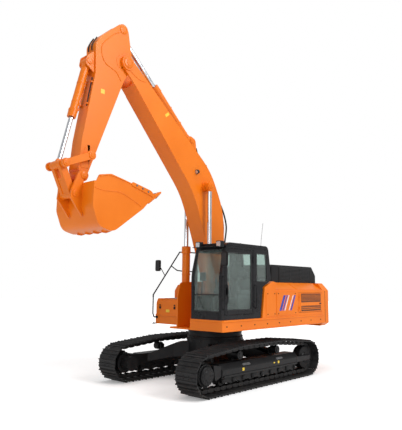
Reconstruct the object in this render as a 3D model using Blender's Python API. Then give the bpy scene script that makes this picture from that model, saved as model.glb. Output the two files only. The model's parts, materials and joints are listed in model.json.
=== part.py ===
"""Crawler excavator: an assembly of separate solids on their joint axes.

Frame: metres, +Z up, the ground at z = 0, the front of the machine towards -Y and the operator's
left towards +X. Every table of points is in machine coordinates, whose Y starts at the swing axis;
the whole machine is then moved by SWING_Y so that its box stands centred on the origin.
"""
from math import asin, atan2, cos, hypot, pi, radians, sin, tan

import bmesh
import bpy
from mathutils import Matrix, Vector

# ---------------------------------------------------------------- sizes
SWING_Y = 0.66              # swing axis behind the centre of the whole machine's box
GAP = 0.0003                # between pieces that touch
PIN_GAP = 0.0005            # beside the eyes of a closed pivot
OPEN_GAP = 0.006            # beside the eyes of an opened pivot
RUN_GAP = 0.006             # between pieces that move past each other

# tracks
GAUGE = 2.59                # between the middles of the tracks
SHOE_WIDTH = 0.60
WHEEL_BASE = 4.03           # sprocket to idler
RAIL_RADIUS = 0.285         # radius of the chain's rail on sprocket and idler
LINK_HEIGHT = 0.12
SHOE_HEIGHT = 0.05
SHOES = 50
CHAIN_HALF = 0.10
CARRIER_RADIUS = 0.10
CARRIER_Y = 0.75
CARRIER_Z = 0.75
ROLLER_RADIUS = 0.095
ROLLERS = 9
ROLLER_PITCH = 0.355
AXLE_Z = RAIL_RADIUS + LINK_HEIGHT + SHOE_HEIGHT
RAIL_Z = LINK_HEIGHT + SHOE_HEIGHT
WHEEL_SLACK = 0.003         # wheels inside the chain's many-sided turn
FRAME_HALF = 0.20           # half width of a track frame
FRAME_BOTTOM = 0.38
FRAME_TOP = 0.62
FRAME_END = 1.52            # half length of a track frame's box
DRIVE_RADIUS = 0.26

# centre of the undercarriage
DRUM_RADIUS = 0.72
DRUM_TOP = 1.00
RING_RADIUS = 0.67
DECK_UNDER = 1.25           # underside of the upper's centre plate

# upper structure
UPPER_HALF = 1.49
TAIL_RADIUS = 3.60
DECK_TOP = 1.55
DECK_THICK = 0.14
SKIRT_BOTTOM = 1.30
SKIRT = 0.09
DECK_INNER = 0.545          # inner side of both decks, beside the boom's clevises
LEFT_FRONT = -1.51
RIGHT_FRONT = -0.70
HOUSE_FRONT = 0.56
HOUSE_REAR = 2.895
HOUSE_TOP = 2.40
HOUSE_SHOULDER = 2.20       # where the covers' top slopes in
HOUSE_WALL = 0.05
TANK_REAR = 1.50
TANK_TOP = 2.32
TOOLBOX_REAR = -0.02
TOOLBOX_TOP = 1.96
LID_SEAM = 1.76             # where the tool box lid meets the box
LID_WALL = 0.02
LID_HINGE = (TOOLBOX_REAR - 0.0082, TOOLBOX_TOP + 0.004)
PANEL_FRONT = 1.62          # opening of the rear doors
PANEL_REAR = 2.84
PANEL_LOW = 1.62
PANEL_HIGH = 2.14
MIRROR_BACK = -0.62         # rear face of the right mirror's head
KNUCKLE_RADIUS = 0.0105     # of the doors' hinges, whose axis stands KNUCKLE_OUT outside the face
KNUCKLE_OUT = 0.0125
KNUCKLE_IN = 0.02           # from the leaf's edge to the axis
KNUCKLE_HEIGHT = 0.05
PANEL_HINGE = (UPPER_HALF + KNUCKLE_OUT, PANEL_FRONT + 0.008 + KNUCKLE_IN)

# cab
CAB_RIGHT = 0.57
CAB_LEFT = 1.47
CAB_WALL = 0.05
CAB_TOP = 3.27
DOOR_FRONT = -1.40
DOOR_REAR = -0.33
DOOR_SILL = 1.66
DOOR_TOP = 3.13
DOOR_FIT = 0.008
PANE = 0.006
DOOR_HINGE = (CAB_LEFT + KNUCKLE_OUT, DOOR_REAR - KNUCKLE_IN)
REAR_WINDOW = (0.68, 1.36, 2.52, 3.10)          # low x, high x, low z, high z
FRONT_WINDOW = (0.63, 1.41, 1.72, 3.12)
RIGHT_WINDOW = (-1.36, -0.12, 2.05, 3.08)       # low y, high y, low z, high z
QUARTER_WINDOW = (-0.22, 0.22, 2.40, 3.08)

# boom and its cylinders
BOOM_HALF = 0.23
PLATE_INNER = 0.25          # main plates that carry the boom's foot
PLATE_THICK = 0.03
BOOM_FOOT = (0.0, 2.15)
BOOM_TIP = (-3.29, 7.18)
BOOM_EYE = (-0.70, 4.77)
BOOM_CYLINDER_FOOT = (-0.70, 1.62)
BOOM_CYLINDER_X = 0.395
BOOM_BARREL_RADIUS = 0.10
BOOM_ROD_RADIUS = 0.055
BOOM_BARREL_LENGTH = 1.66
ARM_CYLINDER_FOOT = (-1.10, 5.90)
ARM_EYE = (-3.40, 7.94)
ARM_BARREL_RADIUS = 0.10
ARM_ROD_RADIUS = 0.058
ARM_BARREL_LENGTH = 1.62
ARM_EYE_HALF = 0.085

# arm, bucket and the linkage between them
ARM_HALF = 0.17
FORK_HALF = 0.185           # inside width of the boom's fork, halved
BUCKET_PIN = (-4.32, 4.455)
ROCKER_PIN = (-4.20, 4.88)
SHARED_PIN = (-4.78, 4.62)
LINK_PIN = (-4.51, 4.06)
BUCKET_CYLINDER_FOOT = (-4.22, 6.93)
BUCKET_BARREL_RADIUS = 0.08
BUCKET_ROD_RADIUS = 0.045
BUCKET_BARREL_LENGTH = 1.30
EAR_INNER = 0.20            # bucket ears
EAR_THICK = 0.05
ROCKER_THICK = 0.05
ROCKER_INNER = EAR_INNER + EAR_THICK + RUN_GAP
LINK_EYE_INNER = 0.075
LINK_EYE_OUTER = 0.165
BUCKET_HALF = 0.64
BUCKET_WALL = 0.03
TOOTH_COUNT = 5
ROD_OVERLAP = 0.12          # rod inside its barrel at rest

# colours: red, green, blue, roughness, metallic
PAINTS = {
    "orange_paint": (0.90, 0.27, 0.03, 0.38, 0.0),
    "black_paint": (0.02, 0.02, 0.022, 0.5, 0.0),
    "track_steel": (0.035, 0.035, 0.038, 0.6, 0.6),
    "cab_black": (0.015, 0.016, 0.018, 0.35, 0.0),
    "glass": (0.16, 0.24, 0.22, 0.05, 0.0),
    "chrome": (0.75, 0.77, 0.80, 0.12, 1.0),
    "seat_fabric": (0.05, 0.05, 0.055, 0.85, 0.0),
    "grey_metal": (0.25, 0.25, 0.26, 0.5, 0.7),
}


# ---------------------------------------------------------------- helpers
def clear_scene():
    for thing in list(bpy.data.objects):
        bpy.data.objects.remove(thing)


def make_materials():
    materials = {}
    for name, (red, green, blue, roughness, metallic) in PAINTS.items():
        material = bpy.data.materials.new(name)
        material.use_nodes = True
        shader = material.node_tree.nodes["Principled BSDF"]
        shader.inputs["Base Color"].default_value = (red, green, blue, 1.0)
        shader.inputs["Roughness"].default_value = roughness
        shader.inputs["Metallic"].default_value = metallic
        materials[name] = material
    return materials


def rounded(corners, steps=4):
    """Outline through corners (u, v, radius): each corner with a radius becomes an arc."""
    outline = []
    count = len(corners)
    for index, (u, v, radius) in enumerate(corners):
        corner = Vector((u, v))
        if radius <= 0:
            outline.append((u, v))
            continue
        before = Vector(corners[index - 1][:2]) - corner
        after = Vector(corners[(index + 1) % count][:2]) - corner
        before.normalize()
        after.normalize()
        half = before.angle(after) / 2
        middle = corner + (before + after).normalized() * (radius / sin(half))
        start = corner + before * (radius / tan(half)) - middle
        end = corner + after * (radius / tan(half)) - middle
        first = atan2(start.y, start.x)
        turn = (atan2(end.y, end.x) - first + pi) % (2 * pi) - pi
        for step in range(steps + 1):
            angle = first + turn * step / steps
            outline.append((middle.x + radius * cos(angle), middle.y + radius * sin(angle)))
    return outline


def place(axis, u, v, along):
    """Point of an outline (u, v) that stands across an axis: X (y, z), Y (x, z), Z (x, y)."""
    if axis == "X":
        return (along, u, v)
    if axis == "Y":
        return (u, along, v)
    return (u, v, along)


def loft(axis, sections):
    """Solid through sections (position along the axis, outline), all with as many points."""
    mesh = bmesh.new()
    rings = [[mesh.verts.new(place(axis, u, v, along)) for u, v in outline]
             for along, outline in sections]
    count = len(rings[0])
    for low, high in zip(rings, rings[1:]):
        for index in range(count):
            after = (index + 1) % count
            mesh.faces.new((low[index], low[after], high[after], high[index]))
    mesh.faces.new(rings[0])
    mesh.faces.new(rings[-1])
    bmesh.ops.recalc_face_normals(mesh, faces=mesh.faces)
    return mesh


def prism(axis, outline, low, high):
    return loft(axis, [(low, outline), (high, outline)])


def box(x_low, x_high, y_low, y_high, z_low, z_high):
    return prism("Z", [(x_low, y_low), (x_high, y_low), (x_high, y_high), (x_low, y_high)], z_low, z_high)


def rod(start, end, radius, sides=16, end_radius=None):
    """Round bar between two points, a cone where end_radius is given."""
    start = Vector(start)
    end = Vector(end)
    mesh = bmesh.new()
    tip = radius if end_radius is None else end_radius
    bmesh.ops.create_cone(mesh, cap_ends=True, segments=sides, radius1=radius, radius2=tip,
                          depth=(end - start).length)
    turn = (end - start).to_track_quat("Z", "Y").to_matrix().to_4x4()
    bmesh.ops.transform(mesh, matrix=Matrix.Translation((start + end) / 2) @ turn, verts=mesh.verts)
    bmesh.ops.recalc_face_normals(mesh, faces=mesh.faces)
    return mesh


def disc(centre, x_low, x_high, radius, sides=20):
    """Round boss across X at a (y, z) centre."""
    points = [(centre[0] + radius * cos(2 * pi * k / sides), centre[1] + radius * sin(2 * pi * k / sides))
              for k in range(sides)]
    return prism("X", points, x_low, x_high)


def mirrored(mesh):
    """The same solid on the other side of the machine's middle plane."""
    copy = mesh.copy()
    for vertex in copy.verts:
        vertex.co.x = -vertex.co.x
    bmesh.ops.reverse_faces(copy, faces=copy.faces)
    return copy


def both_sides(*meshes):
    return [copy for mesh in meshes for copy in (mesh, mirrored(mesh))]


def along(start, end, distance):
    """Point on the line from start towards end, in the (y, z) plane."""
    length = hypot(end[0] - start[0], end[1] - start[1])
    share = distance / length
    return (start[0] + (end[0] - start[0]) * share, start[1] + (end[1] - start[1]) * share)


def at_x(point, x):
    return (x, point[0], point[1])


def span(start, end):
    return hypot(end[0] - start[0], end[1] - start[1])


class Assembly:
    """Collects the pieces: each is parented to the empty that stands on its body's joint axis."""

    def __init__(self):
        self.materials = make_materials()
        self.machine = bpy.data.objects.new("machine", None)
        self.machine.location = (0, SWING_Y, 0)
        bpy.context.scene.collection.objects.link(self.machine)
        self.pivots = {}

    def pivot(self, name, point):
        empty = bpy.data.objects.new(name + "_axis", None)
        empty.parent = self.machine
        empty.location = point
        bpy.context.scene.collection.objects.link(empty)
        self.pivots[name] = empty

    def raw(self, name, mesh):
        data = bpy.data.meshes.new(name)
        mesh.to_mesh(data)
        mesh.free()
        thing = bpy.data.objects.new(name, data)
        bpy.context.scene.collection.objects.link(thing)
        return thing

    def piece(self, name, body, paint, solids, cuts=()):
        """Join overlapping solids into one, cut the cutters out and hang it on its body's empty."""
        base = self.raw(name, solids[0])
        self.combine(base, [self.raw("tool", solid) for solid in solids[1:]], "UNION")
        self.combine(base, [self.raw("tool", cut) for cut in cuts], "DIFFERENCE")
        return self.hang(base, body, paint)

    def combine(self, base, tools, operation):
        """Add the tools to a solid or cut them out of it, all still in machine coordinates."""
        for tool in tools:
            modifier = base.modifiers.new(operation, "BOOLEAN")
            modifier.operation = operation
            modifier.object = tool
        if tools:
            bpy.context.view_layer.update()
            graph = bpy.context.evaluated_depsgraph_get()
            joined = bpy.data.meshes.new_from_object(base.evaluated_get(graph))
            base.modifiers.clear()
            base.data = joined
        for tool in tools:
            bpy.data.objects.remove(tool)
        return base

    def hang(self, base, body, paint):
        """Move a finished solid's origin to its body's axis, paint it and parent it there."""
        pivot = self.pivots[body]
        base.data.transform(Matrix.Translation(-pivot.location))
        base.data.materials.clear()
        base.data.materials.append(self.materials[paint])
        base.parent = pivot
        base.data.shade_smooth()
        base.data.set_sharp_from_angle(angle=radians(35))
        return base


# ---------------------------------------------------------------- tracks
def track_wheels():
    """Circles that the chain runs round, rail radius each, anticlockwise in (y, z)."""
    end = WHEEL_BASE / 2
    return [(-end, AXLE_Z, RAIL_RADIUS), (end, AXLE_Z, RAIL_RADIUS),
            (CARRIER_Y, CARRIER_Z, CARRIER_RADIUS), (-CARRIER_Y, CARRIER_Z, CARRIER_RADIUS)]


def track_path():
    """Rail line as pieces: ("line", start, end, normal) and ("arc", centre, radius, from, turn)."""
    wheels = track_wheels()
    normals = []
    for index, (y, z, radius) in enumerate(wheels):
        next_y, next_z, next_radius = wheels[(index + 1) % len(wheels)]
        length = hypot(next_y - y, next_z - z)
        direction = atan2(next_z - z, next_y - y)
        normals.append(direction - pi / 2 + asin((radius - next_radius) / length))
    pieces = []
    for index, (y, z, radius) in enumerate(wheels):
        turn = (normals[index] - normals[index - 1]) % (2 * pi)
        pieces.append(("arc", (y, z), radius, normals[index - 1], turn))
        next_y, next_z, next_radius = wheels[(index + 1) % len(wheels)]
        normal = (cos(normals[index]), sin(normals[index]))
        start = (y + radius * normal[0], z + radius * normal[1])
        end = (next_y + next_radius * normal[0], next_z + next_radius * normal[1])
        pieces.append(("line", start, end, normal))
    return pieces


def piece_length(piece):
    if piece[0] == "line":
        return span(piece[1], piece[2])
    return piece[2] * piece[4]


def point_on_track(pieces, distance, offset):
    """Point at a distance along the rail, moved outwards by an offset."""
    distance %= sum(piece_length(piece) for piece in pieces)
    for piece in pieces:
        length = piece_length(piece)
        if distance <= length:
            break
        distance -= length
    if piece[0] == "line":
        y, z = along(piece[1], piece[2], distance)
        return (y + piece[3][0] * offset, z + piece[3][1] * offset)
    angle = piece[3] + distance / piece[2]
    reach = piece[2] + offset
    return (piece[1][0] + reach * cos(angle), piece[1][1] + reach * sin(angle))


def smooth_loop(pieces, offset, step=radians(12)):
    """Closed outline at an offset from the rail: corners only on the arcs."""
    outline = []
    for piece in pieces:
        if piece[0] == "line":
            continue
        count = max(2, round(piece[4] / step))
        for k in range(count + 1):
            angle = piece[3] + piece[4] * k / count
            reach = piece[2] + offset
            outline.append((piece[1][0] + reach * cos(angle), piece[1][1] + reach * sin(angle)))
    return outline


def shoe_loop(pieces):
    """Outer outline with one raised step for each shoe."""
    total = sum(piece_length(piece) for piece in pieces)
    pitch = total / SHOES
    valley = LINK_HEIGHT + 0.012
    tip = LINK_HEIGHT + SHOE_HEIGHT
    # share of the pitch from the shoe's middle, offset
    profile = [(-0.46, valley), (-0.40, tip), (0.40, tip), (0.46, valley)]
    return [point_on_track(pieces, (shoe + share) * pitch, offset)
            for shoe in range(SHOES) for share, offset in profile]


def make_tracks(parts, side, sign):
    middle = sign * GAUGE / 2
    pieces = track_path()
    shoes = prism("X", shoe_loop(pieces), middle - SHOE_WIDTH / 2, middle + SHOE_WIDTH / 2)
    opening = prism("X", smooth_loop(pieces, LINK_HEIGHT), middle - SHOE_WIDTH, middle + SHOE_WIDTH)
    chain = prism("X", smooth_loop(pieces, LINK_HEIGHT + 0.004), middle - CHAIN_HALF, middle + CHAIN_HALF)
    inside = prism("X", smooth_loop(pieces, 0.0), middle - SHOE_WIDTH, middle + SHOE_WIDTH)
    ring = parts.combine(parts.raw("ring", chain), [parts.raw("tool", inside)], "DIFFERENCE")
    track = parts.combine(parts.raw("track_" + side, shoes), [parts.raw("tool", opening)], "DIFFERENCE")
    parts.combine(track, [ring], "UNION")
    parts.hang(track, "undercarriage", "track_steel")


def make_track_frame(parts, side, sign):
    middle = sign * GAUGE / 2
    outer = middle + sign * FRAME_HALF
    inner = middle - sign * FRAME_HALF
    section = [(inner, FRAME_BOTTOM), (outer, FRAME_BOTTOM), (outer, FRAME_TOP - 0.10),
               (middle + sign * 0.10, FRAME_TOP), (inner, FRAME_TOP)]
    beam = prism("Y", section, -FRAME_END, FRAME_END)
    end = WHEEL_BASE / 2
    plate_low, plate_high = sorted((inner, inner + sign * 0.08))
    arm_outline = [(-FRAME_END + 0.05, FRAME_BOTTOM), (-FRAME_END + 0.05, FRAME_TOP),
                   (-end, AXLE_Z + 0.20), (-end, AXLE_Z - 0.20)]
    drive_arm = prism("X", arm_outline, plate_low, plate_high)
    drive_plate = disc((-end, AXLE_Z), plate_low, plate_high, 0.235, 24)
    solids = [beam, drive_arm, drive_plate]
    for offset in (-1, 1):
        low = middle + offset * (FRAME_HALF - 0.025) - 0.025
        solids.append(box(low, low + 0.05, FRAME_END - 0.05, end + 0.10, AXLE_Z - 0.06, AXLE_Z + 0.06))
    parts.piece("track_frame_" + side, "undercarriage", "black_paint", solids)


def make_sprocket(parts, side, sign):
    """Toothed ring with its bolted final drive cover."""
    middle = sign * GAUGE / 2
    centre = (-WHEEL_BASE / 2, AXLE_Z)
    teeth = 21
    outline = []
    for tooth in range(teeth):
        for share, radius in ((-0.25, RAIL_RADIUS - 0.035), (0.0, RAIL_RADIUS - WHEEL_SLACK)):
            angle = 2 * pi * (tooth + share * 2) / teeth
            outline.append((centre[0] + radius * cos(angle), centre[1] + radius * sin(angle)))
    ring = prism("X", outline, middle - 0.04, middle + 0.04)
    back = disc(centre, *sorted((middle - sign * (FRAME_HALF - 0.08 - GAP), middle)), 0.20, 20)
    cover = disc(centre, *sorted((middle, middle + sign * 0.17)), DRIVE_RADIUS - 0.04, 24)
    hub = rod(at_x(centre, middle + sign * 0.16), at_x(centre, middle + sign * 0.25), 0.19, 20, 0.15)
    parts.piece("sprocket_" + side, "undercarriage", "black_paint", [ring, back, cover, hub])
    motor_end = middle - sign * (FRAME_HALF + GAP)
    motor = disc(centre, *sorted((motor_end, motor_end - sign * 0.26)), 0.17, 16)
    parts.piece("travel_motor_" + side, "undercarriage", "black_paint", [motor])


def make_idler(parts, side, sign):
    middle = sign * GAUGE / 2
    centre = (WHEEL_BASE / 2, AXLE_Z)
    wheel = disc(centre, middle - 0.09, middle + 0.09, RAIL_RADIUS - WHEEL_SLACK, 24)
    reach = FRAME_HALF - 0.05 - GAP
    axle = disc(centre, middle - reach, middle + reach, 0.055, 12)
    parts.piece("idler_" + side, "undercarriage", "black_paint", [wheel, axle])


def make_rollers(parts, side, sign):
    """Lower rollers on their two guard rails, and the two carrier rollers on the frame's posts."""
    middle = sign * GAUGE / 2
    centre_z = RAIL_Z + ROLLER_RADIUS + GAP
    last = (ROLLERS - 1) / 2 * ROLLER_PITCH
    solids = []
    for offset in (-1, 1):
        low = middle + offset * 0.1325 - 0.0175
        solids.append(box(low, low + 0.035, -last - 0.04, last + 0.04, centre_z - 0.04, FRAME_BOTTOM - GAP))
    for index in range(ROLLERS):
        centre = (index * ROLLER_PITCH - last, centre_z)
        solids.append(disc(centre, middle - 0.135, middle + 0.135, 0.038, 8))
        solids.append(disc(centre, middle - 0.085, middle + 0.085, ROLLER_RADIUS, 12))
    parts.piece("lower_rollers_" + side, "undercarriage", "black_paint", solids)
    for place_name, y in (("front", -CARRIER_Y), ("rear", CARRIER_Y)):
        roller = disc((y, CARRIER_Z), middle - 0.08, middle + 0.08, CARRIER_RADIUS - GAP, 12)
        pin = disc((y, CARRIER_Z), *sorted((middle, middle - sign * 0.15)), 0.035, 8)
        post_low, post_high = sorted((middle - sign * 0.11, middle - sign * 0.15))
        post = box(post_low, post_high, y - 0.06, y + 0.06, FRAME_TOP + GAP, CARRIER_Z + 0.05)
        name = "carrier_roller_" + side + "_" + place_name
        parts.piece(name, "undercarriage", "black_paint", [post, pin, roller])


def make_carbody(parts):
    drum = prism("Z", [(DRUM_RADIUS * cos(pi * k / 12), DRUM_RADIUS * sin(pi * k / 12)) for k in range(24)],
                 0.52, DRUM_TOP)
    reach = GAUGE / 2 - FRAME_HALF - GAP
    solids = [drum]
    for front in (-1, 1):
        # x, middle y, half width along y, bottom z, top z
        stations = [(0.20, 0.25, 0.30, 0.56, 0.92), (0.62, 0.62, 0.24, 0.54, 0.86),
                    (reach, 1.05, 0.26, 0.42, 0.60)]
        sections = [(x, [(front * y - half, low), (front * y + half, low), (front * y + half, high),
                         (front * y - half, high)]) for x, y, half, low, high in stations]
        solids += both_sides(loft("X", sections))
    parts.piece("carbody", "undercarriage", "black_paint", solids)
    ring = prism("Z", [(RING_RADIUS * cos(pi * k / 18), RING_RADIUS * sin(pi * k / 18)) for k in range(36)],
                 DRUM_TOP + GAP, DECK_UNDER - PIN_GAP)
    parts.piece("slew_ring", "undercarriage", "black_paint", [ring])


# ---------------------------------------------------------------- upper structure
def make_upper_frame(parts):
    """Decks, main rails, the boom's main plates and the clevises of the boom cylinders."""
    main_rear = HOUSE_REAR - GAP
    centre = box(-DECK_INNER, DECK_INNER, -1.10, main_rear, DECK_UNDER, DECK_UNDER + 0.04)
    left = box(DECK_INNER - 0.01, UPPER_HALF, LEFT_FRONT, main_rear, DECK_TOP - DECK_THICK, DECK_TOP)
    right = box(-UPPER_HALF, -DECK_INNER + 0.01, RIGHT_FRONT, main_rear, DECK_TOP - DECK_THICK, DECK_TOP)
    skirt_left = box(UPPER_HALF - SKIRT, UPPER_HALF, LEFT_FRONT, main_rear, SKIRT_BOTTOM, DECK_TOP - 0.02)
    skirt_right = box(-UPPER_HALF, -UPPER_HALF + SKIRT, RIGHT_FRONT, main_rear, SKIRT_BOTTOM,
                      DECK_TOP - 0.02)
    front_left = box(DECK_INNER - 0.01, UPPER_HALF, LEFT_FRONT, LEFT_FRONT + SKIRT, SKIRT_BOTTOM,
                     DECK_TOP - 0.02)
    front_right = box(-UPPER_HALF, -DECK_INNER + 0.01, RIGHT_FRONT, RIGHT_FRONT + SKIRT, SKIRT_BOTTOM,
                      DECK_TOP - 0.02)
    solids = [centre, left, right, skirt_left, skirt_right, front_left, front_right]
    # inner side of both decks down to the centre plate
    solids += both_sides(box(DECK_INNER - 0.01, DECK_INNER + 0.05, RIGHT_FRONT, main_rear, DECK_UNDER,
                             DECK_TOP - 0.01))
    floor = box(-DECK_INNER, DECK_INNER, 0.30, main_rear, DECK_UNDER + 0.02, DECK_TOP)
    solids.append(floor)
    outline = rounded([(-1.12, DECK_UNDER + 0.01, 0), (-1.12, 2.05, 0.12), (-1.03, 2.38, 0.10),
                       (0.22, 2.42, 0.15),
                       (HOUSE_FRONT - 0.03, 1.95, 0.2), (HOUSE_FRONT - 0.03, DECK_UNDER + 0.01, 0)])
    solids += both_sides(prism("X", outline, PLATE_INNER, PLATE_INNER + PLATE_THICK))
    foot_y, foot_z = BOOM_CYLINDER_FOOT
    ear = rounded([(foot_y - 0.16, DECK_UNDER + 0.01, 0), (foot_y - 0.16, foot_z + 0.14, 0.13),
                   (foot_y + 0.16, foot_z + 0.14, 0.13), (foot_y + 0.16, DECK_UNDER + 0.01, 0)])
    solids += both_sides(prism("X", ear, DECK_INNER - 0.035, DECK_INNER))
    parts.piece("upper_frame", "upper", "orange_paint", solids)


def counterweight_plan(inset):
    """Plan outline: straight front, round tail about the swing axis, rounded corners."""
    half = UPPER_HALF - inset
    radius = TAIL_RADIUS - inset
    corner = asin((half - 0.06) / radius)
    steps = 12
    arc = [(radius * sin(corner - 2 * corner * k / steps), radius * cos(corner - 2 * corner * k / steps))
           for k in range(steps + 1)]
    side_rear = radius * cos(corner) - 0.08
    return [(-half, HOUSE_REAR + GAP), (half, HOUSE_REAR + GAP), (half, side_rear)] + arc + [(-half,
                                                                                              side_rear)]


def make_counterweight(parts):
    sections = [(SKIRT_BOTTOM - 0.08, counterweight_plan(0.10)), (SKIRT_BOTTOM, counterweight_plan(0.0)),
                (HOUSE_SHOULDER, counterweight_plan(0.0)), (HOUSE_TOP, counterweight_plan(0.14))]
    parts.piece("counterweight", "upper", "orange_paint", [loft("Z", sections)])


def make_house(parts):
    """Covers of the engine bay: walls and a sloping shoulder, open under the hood and at both doors."""
    low = DECK_TOP + GAP
    inner = HOUSE_WALL

    def shell(inset, bottom):
        half = UPPER_HALF - inset
        return [(half, bottom), (half, HOUSE_SHOULDER - inset * 0.4), (1.16 - inset * 0.4,
                                                                       HOUSE_TOP - inset),
                (-1.16 + inset * 0.4, HOUSE_TOP - inset), (-half, HOUSE_SHOULDER - inset * 0.4),
                (-half, bottom)]

    body = prism("Y", shell(0.0, low), HOUSE_FRONT, HOUSE_REAR)
    tank_corner = box(-2.0, -DECK_INNER, HOUSE_FRONT - 0.1, TANK_REAR + GAP, low - 0.1, HOUSE_TOP + 0.1)
    cavity = prism("Y", shell(inner, low - 0.1), HOUSE_FRONT + inner, HOUSE_REAR - inner)
    keep = [(-2.0, HOUSE_FRONT - 0.1), (-DECK_INNER + inner, HOUSE_FRONT - 0.1),
            (-DECK_INNER + inner, TANK_REAR + inner),
            (-2.0, TANK_REAR + inner)]
    solid_corner = prism("Z", keep, low - 0.2, HOUSE_TOP + 0.2)
    hollow = parts.combine(parts.raw("hollow", cavity), [parts.raw("tool", solid_corner)], "DIFFERENCE")
    hood_hole = box(-0.86, 1.00, 1.05, 2.72, HOUSE_TOP - 0.3, HOUSE_TOP + 0.1)
    doorways = box(-2, 2, PANEL_FRONT, PANEL_REAR, PANEL_LOW, PANEL_HIGH)
    cutters = [hollow] + [parts.raw("tool", mesh) for mesh in (tank_corner, hood_hole, doorways)]
    house = parts.combine(parts.raw("engine_house", body), cutters, "DIFFERENCE")
    knuckles = [parts.raw("tool", mesh) for mesh in both_sides(*panel_knuckles(True))]
    parts.combine(house, knuckles, "UNION")
    parts.hang(house, "upper", "orange_paint")


def knuckle(axis_x, axis_y, low, high, face_x, root_y):
    """Hinge knuckle on an upright axis, with the flag that joins it to a face."""
    barrel = rod((axis_x, axis_y, low), (axis_x, axis_y, high), KNUCKLE_RADIUS, 12)
    y_low, y_high = sorted((axis_y, root_y))
    flag = box(face_x + 0.004, axis_x, y_low, y_high, low, high)
    foot_low, foot_high = sorted((root_y, root_y + (0.02 if root_y > axis_y else -0.02)))
    foot = box(face_x - 0.01, axis_x, foot_low, foot_high, low, high)
    return [barrel, flag, foot]


def hinge_knuckles(axis, face_x, low, high, leaf_root, frame_root, of_frame):
    """Knuckles of two hinges: the leaf has the middle one, the frame the ones above and below."""
    solids = []
    for middle in (low, high):
        half = KNUCKLE_HEIGHT / 2
        if not of_frame:
            solids += knuckle(axis[0], axis[1], middle - half, middle + half, face_x, leaf_root)
            continue
        for start in (middle - 3 * half, middle + half + GAP):
            solids += knuckle(axis[0], axis[1], start, start + KNUCKLE_HEIGHT - GAP, face_x, frame_root)
    return solids


def panel_knuckles(of_frame):
    return hinge_knuckles(PANEL_HINGE, UPPER_HALF, PANEL_LOW + 0.12, PANEL_HIGH - 0.12,
                          PANEL_HINGE[1] + 0.01,
                          PANEL_FRONT - 0.01, of_frame)


def door_knuckles(of_frame):
    return hinge_knuckles(DOOR_HINGE, CAB_LEFT, DOOR_SILL + 0.22, DOOR_TOP - 0.22, DOOR_HINGE[1] - 0.01,
                          DOOR_REAR + DOOR_FIT + 0.01, of_frame)


def make_house_doors(parts):
    fit = DOOR_FIT
    door = box(UPPER_HALF - HOUSE_WALL, UPPER_HALF, PANEL_FRONT + fit, PANEL_REAR - fit, PANEL_LOW + fit,
               PANEL_HIGH - fit)
    left = [door] + panel_knuckles(False)
    right = [mirrored(mesh) for mesh in left]
    parts.piece("left_rear_door", "left_rear_door", "orange_paint", left)
    parts.piece("right_rear_door", "right_rear_door", "orange_paint", right)


def make_hood(parts):
    """Black louvred engine hood, hinged along its front edge."""
    low = HOUSE_TOP + GAP
    outline = rounded([(0.92, low, 0), (3.16, low, 0), (3.16, 2.62, 0.05), (2.94, 2.86, 0.08),
                       (0.97, 2.86, 0.06),
                       (0.92, 2.78, 0.03)])
    inner = rounded([(1.0, low - 0.1, 0), (2.86, low - 0.1, 0), (2.86, 2.80, 0.05), (1.0, 2.80, 0.05)])
    shell = prism("X", outline, -1.02, 1.12)
    space = prism("X", inner, -0.96, 1.06)
    parts.piece("engine_hood", "engine_hood", "black_paint", [shell], [space])
    engine = box(-0.55, 0.95, 1.75, 2.72, DECK_TOP + GAP, 2.30)
    parts.piece("engine_block", "upper", "grey_metal", [engine])


def make_right_side(parts):
    low = DECK_TOP + GAP
    outer = -UPPER_HALF + 0.02
    inner = -DECK_INNER - GAP
    tank_section = rounded([(outer, low, 0), (inner, low, 0), (inner, TANK_TOP, 0.05),
                            (outer + 0.12, TANK_TOP, 0.05),
                            (outer, TANK_TOP - 0.16, 0.05)])
    tank = prism("Y", tank_section, TOOLBOX_REAR + GAP, TANK_REAR - GAP)
    cap = rod((-1.0, 0.5, TANK_TOP - 0.01), (-1.0, 0.5, TANK_TOP + 0.05), 0.06, 12)
    parts.piece("fuel_tank", "upper", "orange_paint", [tank, cap])
    wall = 0.03
    body = box(outer, inner, RIGHT_FRONT, TOOLBOX_REAR, low, LID_SEAM - GAP)
    space = box(outer + wall, inner - wall, RIGHT_FRONT + wall, TOOLBOX_REAR - wall, low + wall,
                TOOLBOX_TOP)
    parts.piece("tool_box", "upper", "orange_paint", [body], [space])
    rear = TOOLBOX_REAR - RUN_GAP
    section = rounded([(RIGHT_FRONT, LID_SEAM, 0), (rear, LID_SEAM, 0), (rear, TOOLBOX_TOP, 0),
                       (RIGHT_FRONT + 0.05, TOOLBOX_TOP, 0.05), (RIGHT_FRONT, TOOLBOX_TOP - 0.12, 0.05)])
    lid = prism("X", section, outer, inner)
    under = box(outer + LID_WALL, inner - LID_WALL, RIGHT_FRONT + 2 * LID_WALL, rear - LID_WALL,
                LID_SEAM - 0.1,
                TOOLBOX_TOP - LID_WALL)
    hinge = rod(at_x(LID_HINGE, outer + 0.1), at_x(LID_HINGE, inner - 0.1), 0.008, 8)
    parts.piece("tool_box_lid", "tool_box_lid", "orange_paint", [lid, hinge], [under])


def make_left_fender(parts):
    """Cover behind and below the cab's rear, following the cab's stepped back."""
    low = DECK_TOP + GAP
    outline = [(-0.02, low), (0.09, 2.27), (0.44, 2.42), (HOUSE_FRONT - GAP, 2.40),
               (HOUSE_FRONT - GAP, low)]
    parts.piece("left_fender", "upper", "orange_paint", [prism("X", outline, CAB_RIGHT, UPPER_HALF)])


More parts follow.
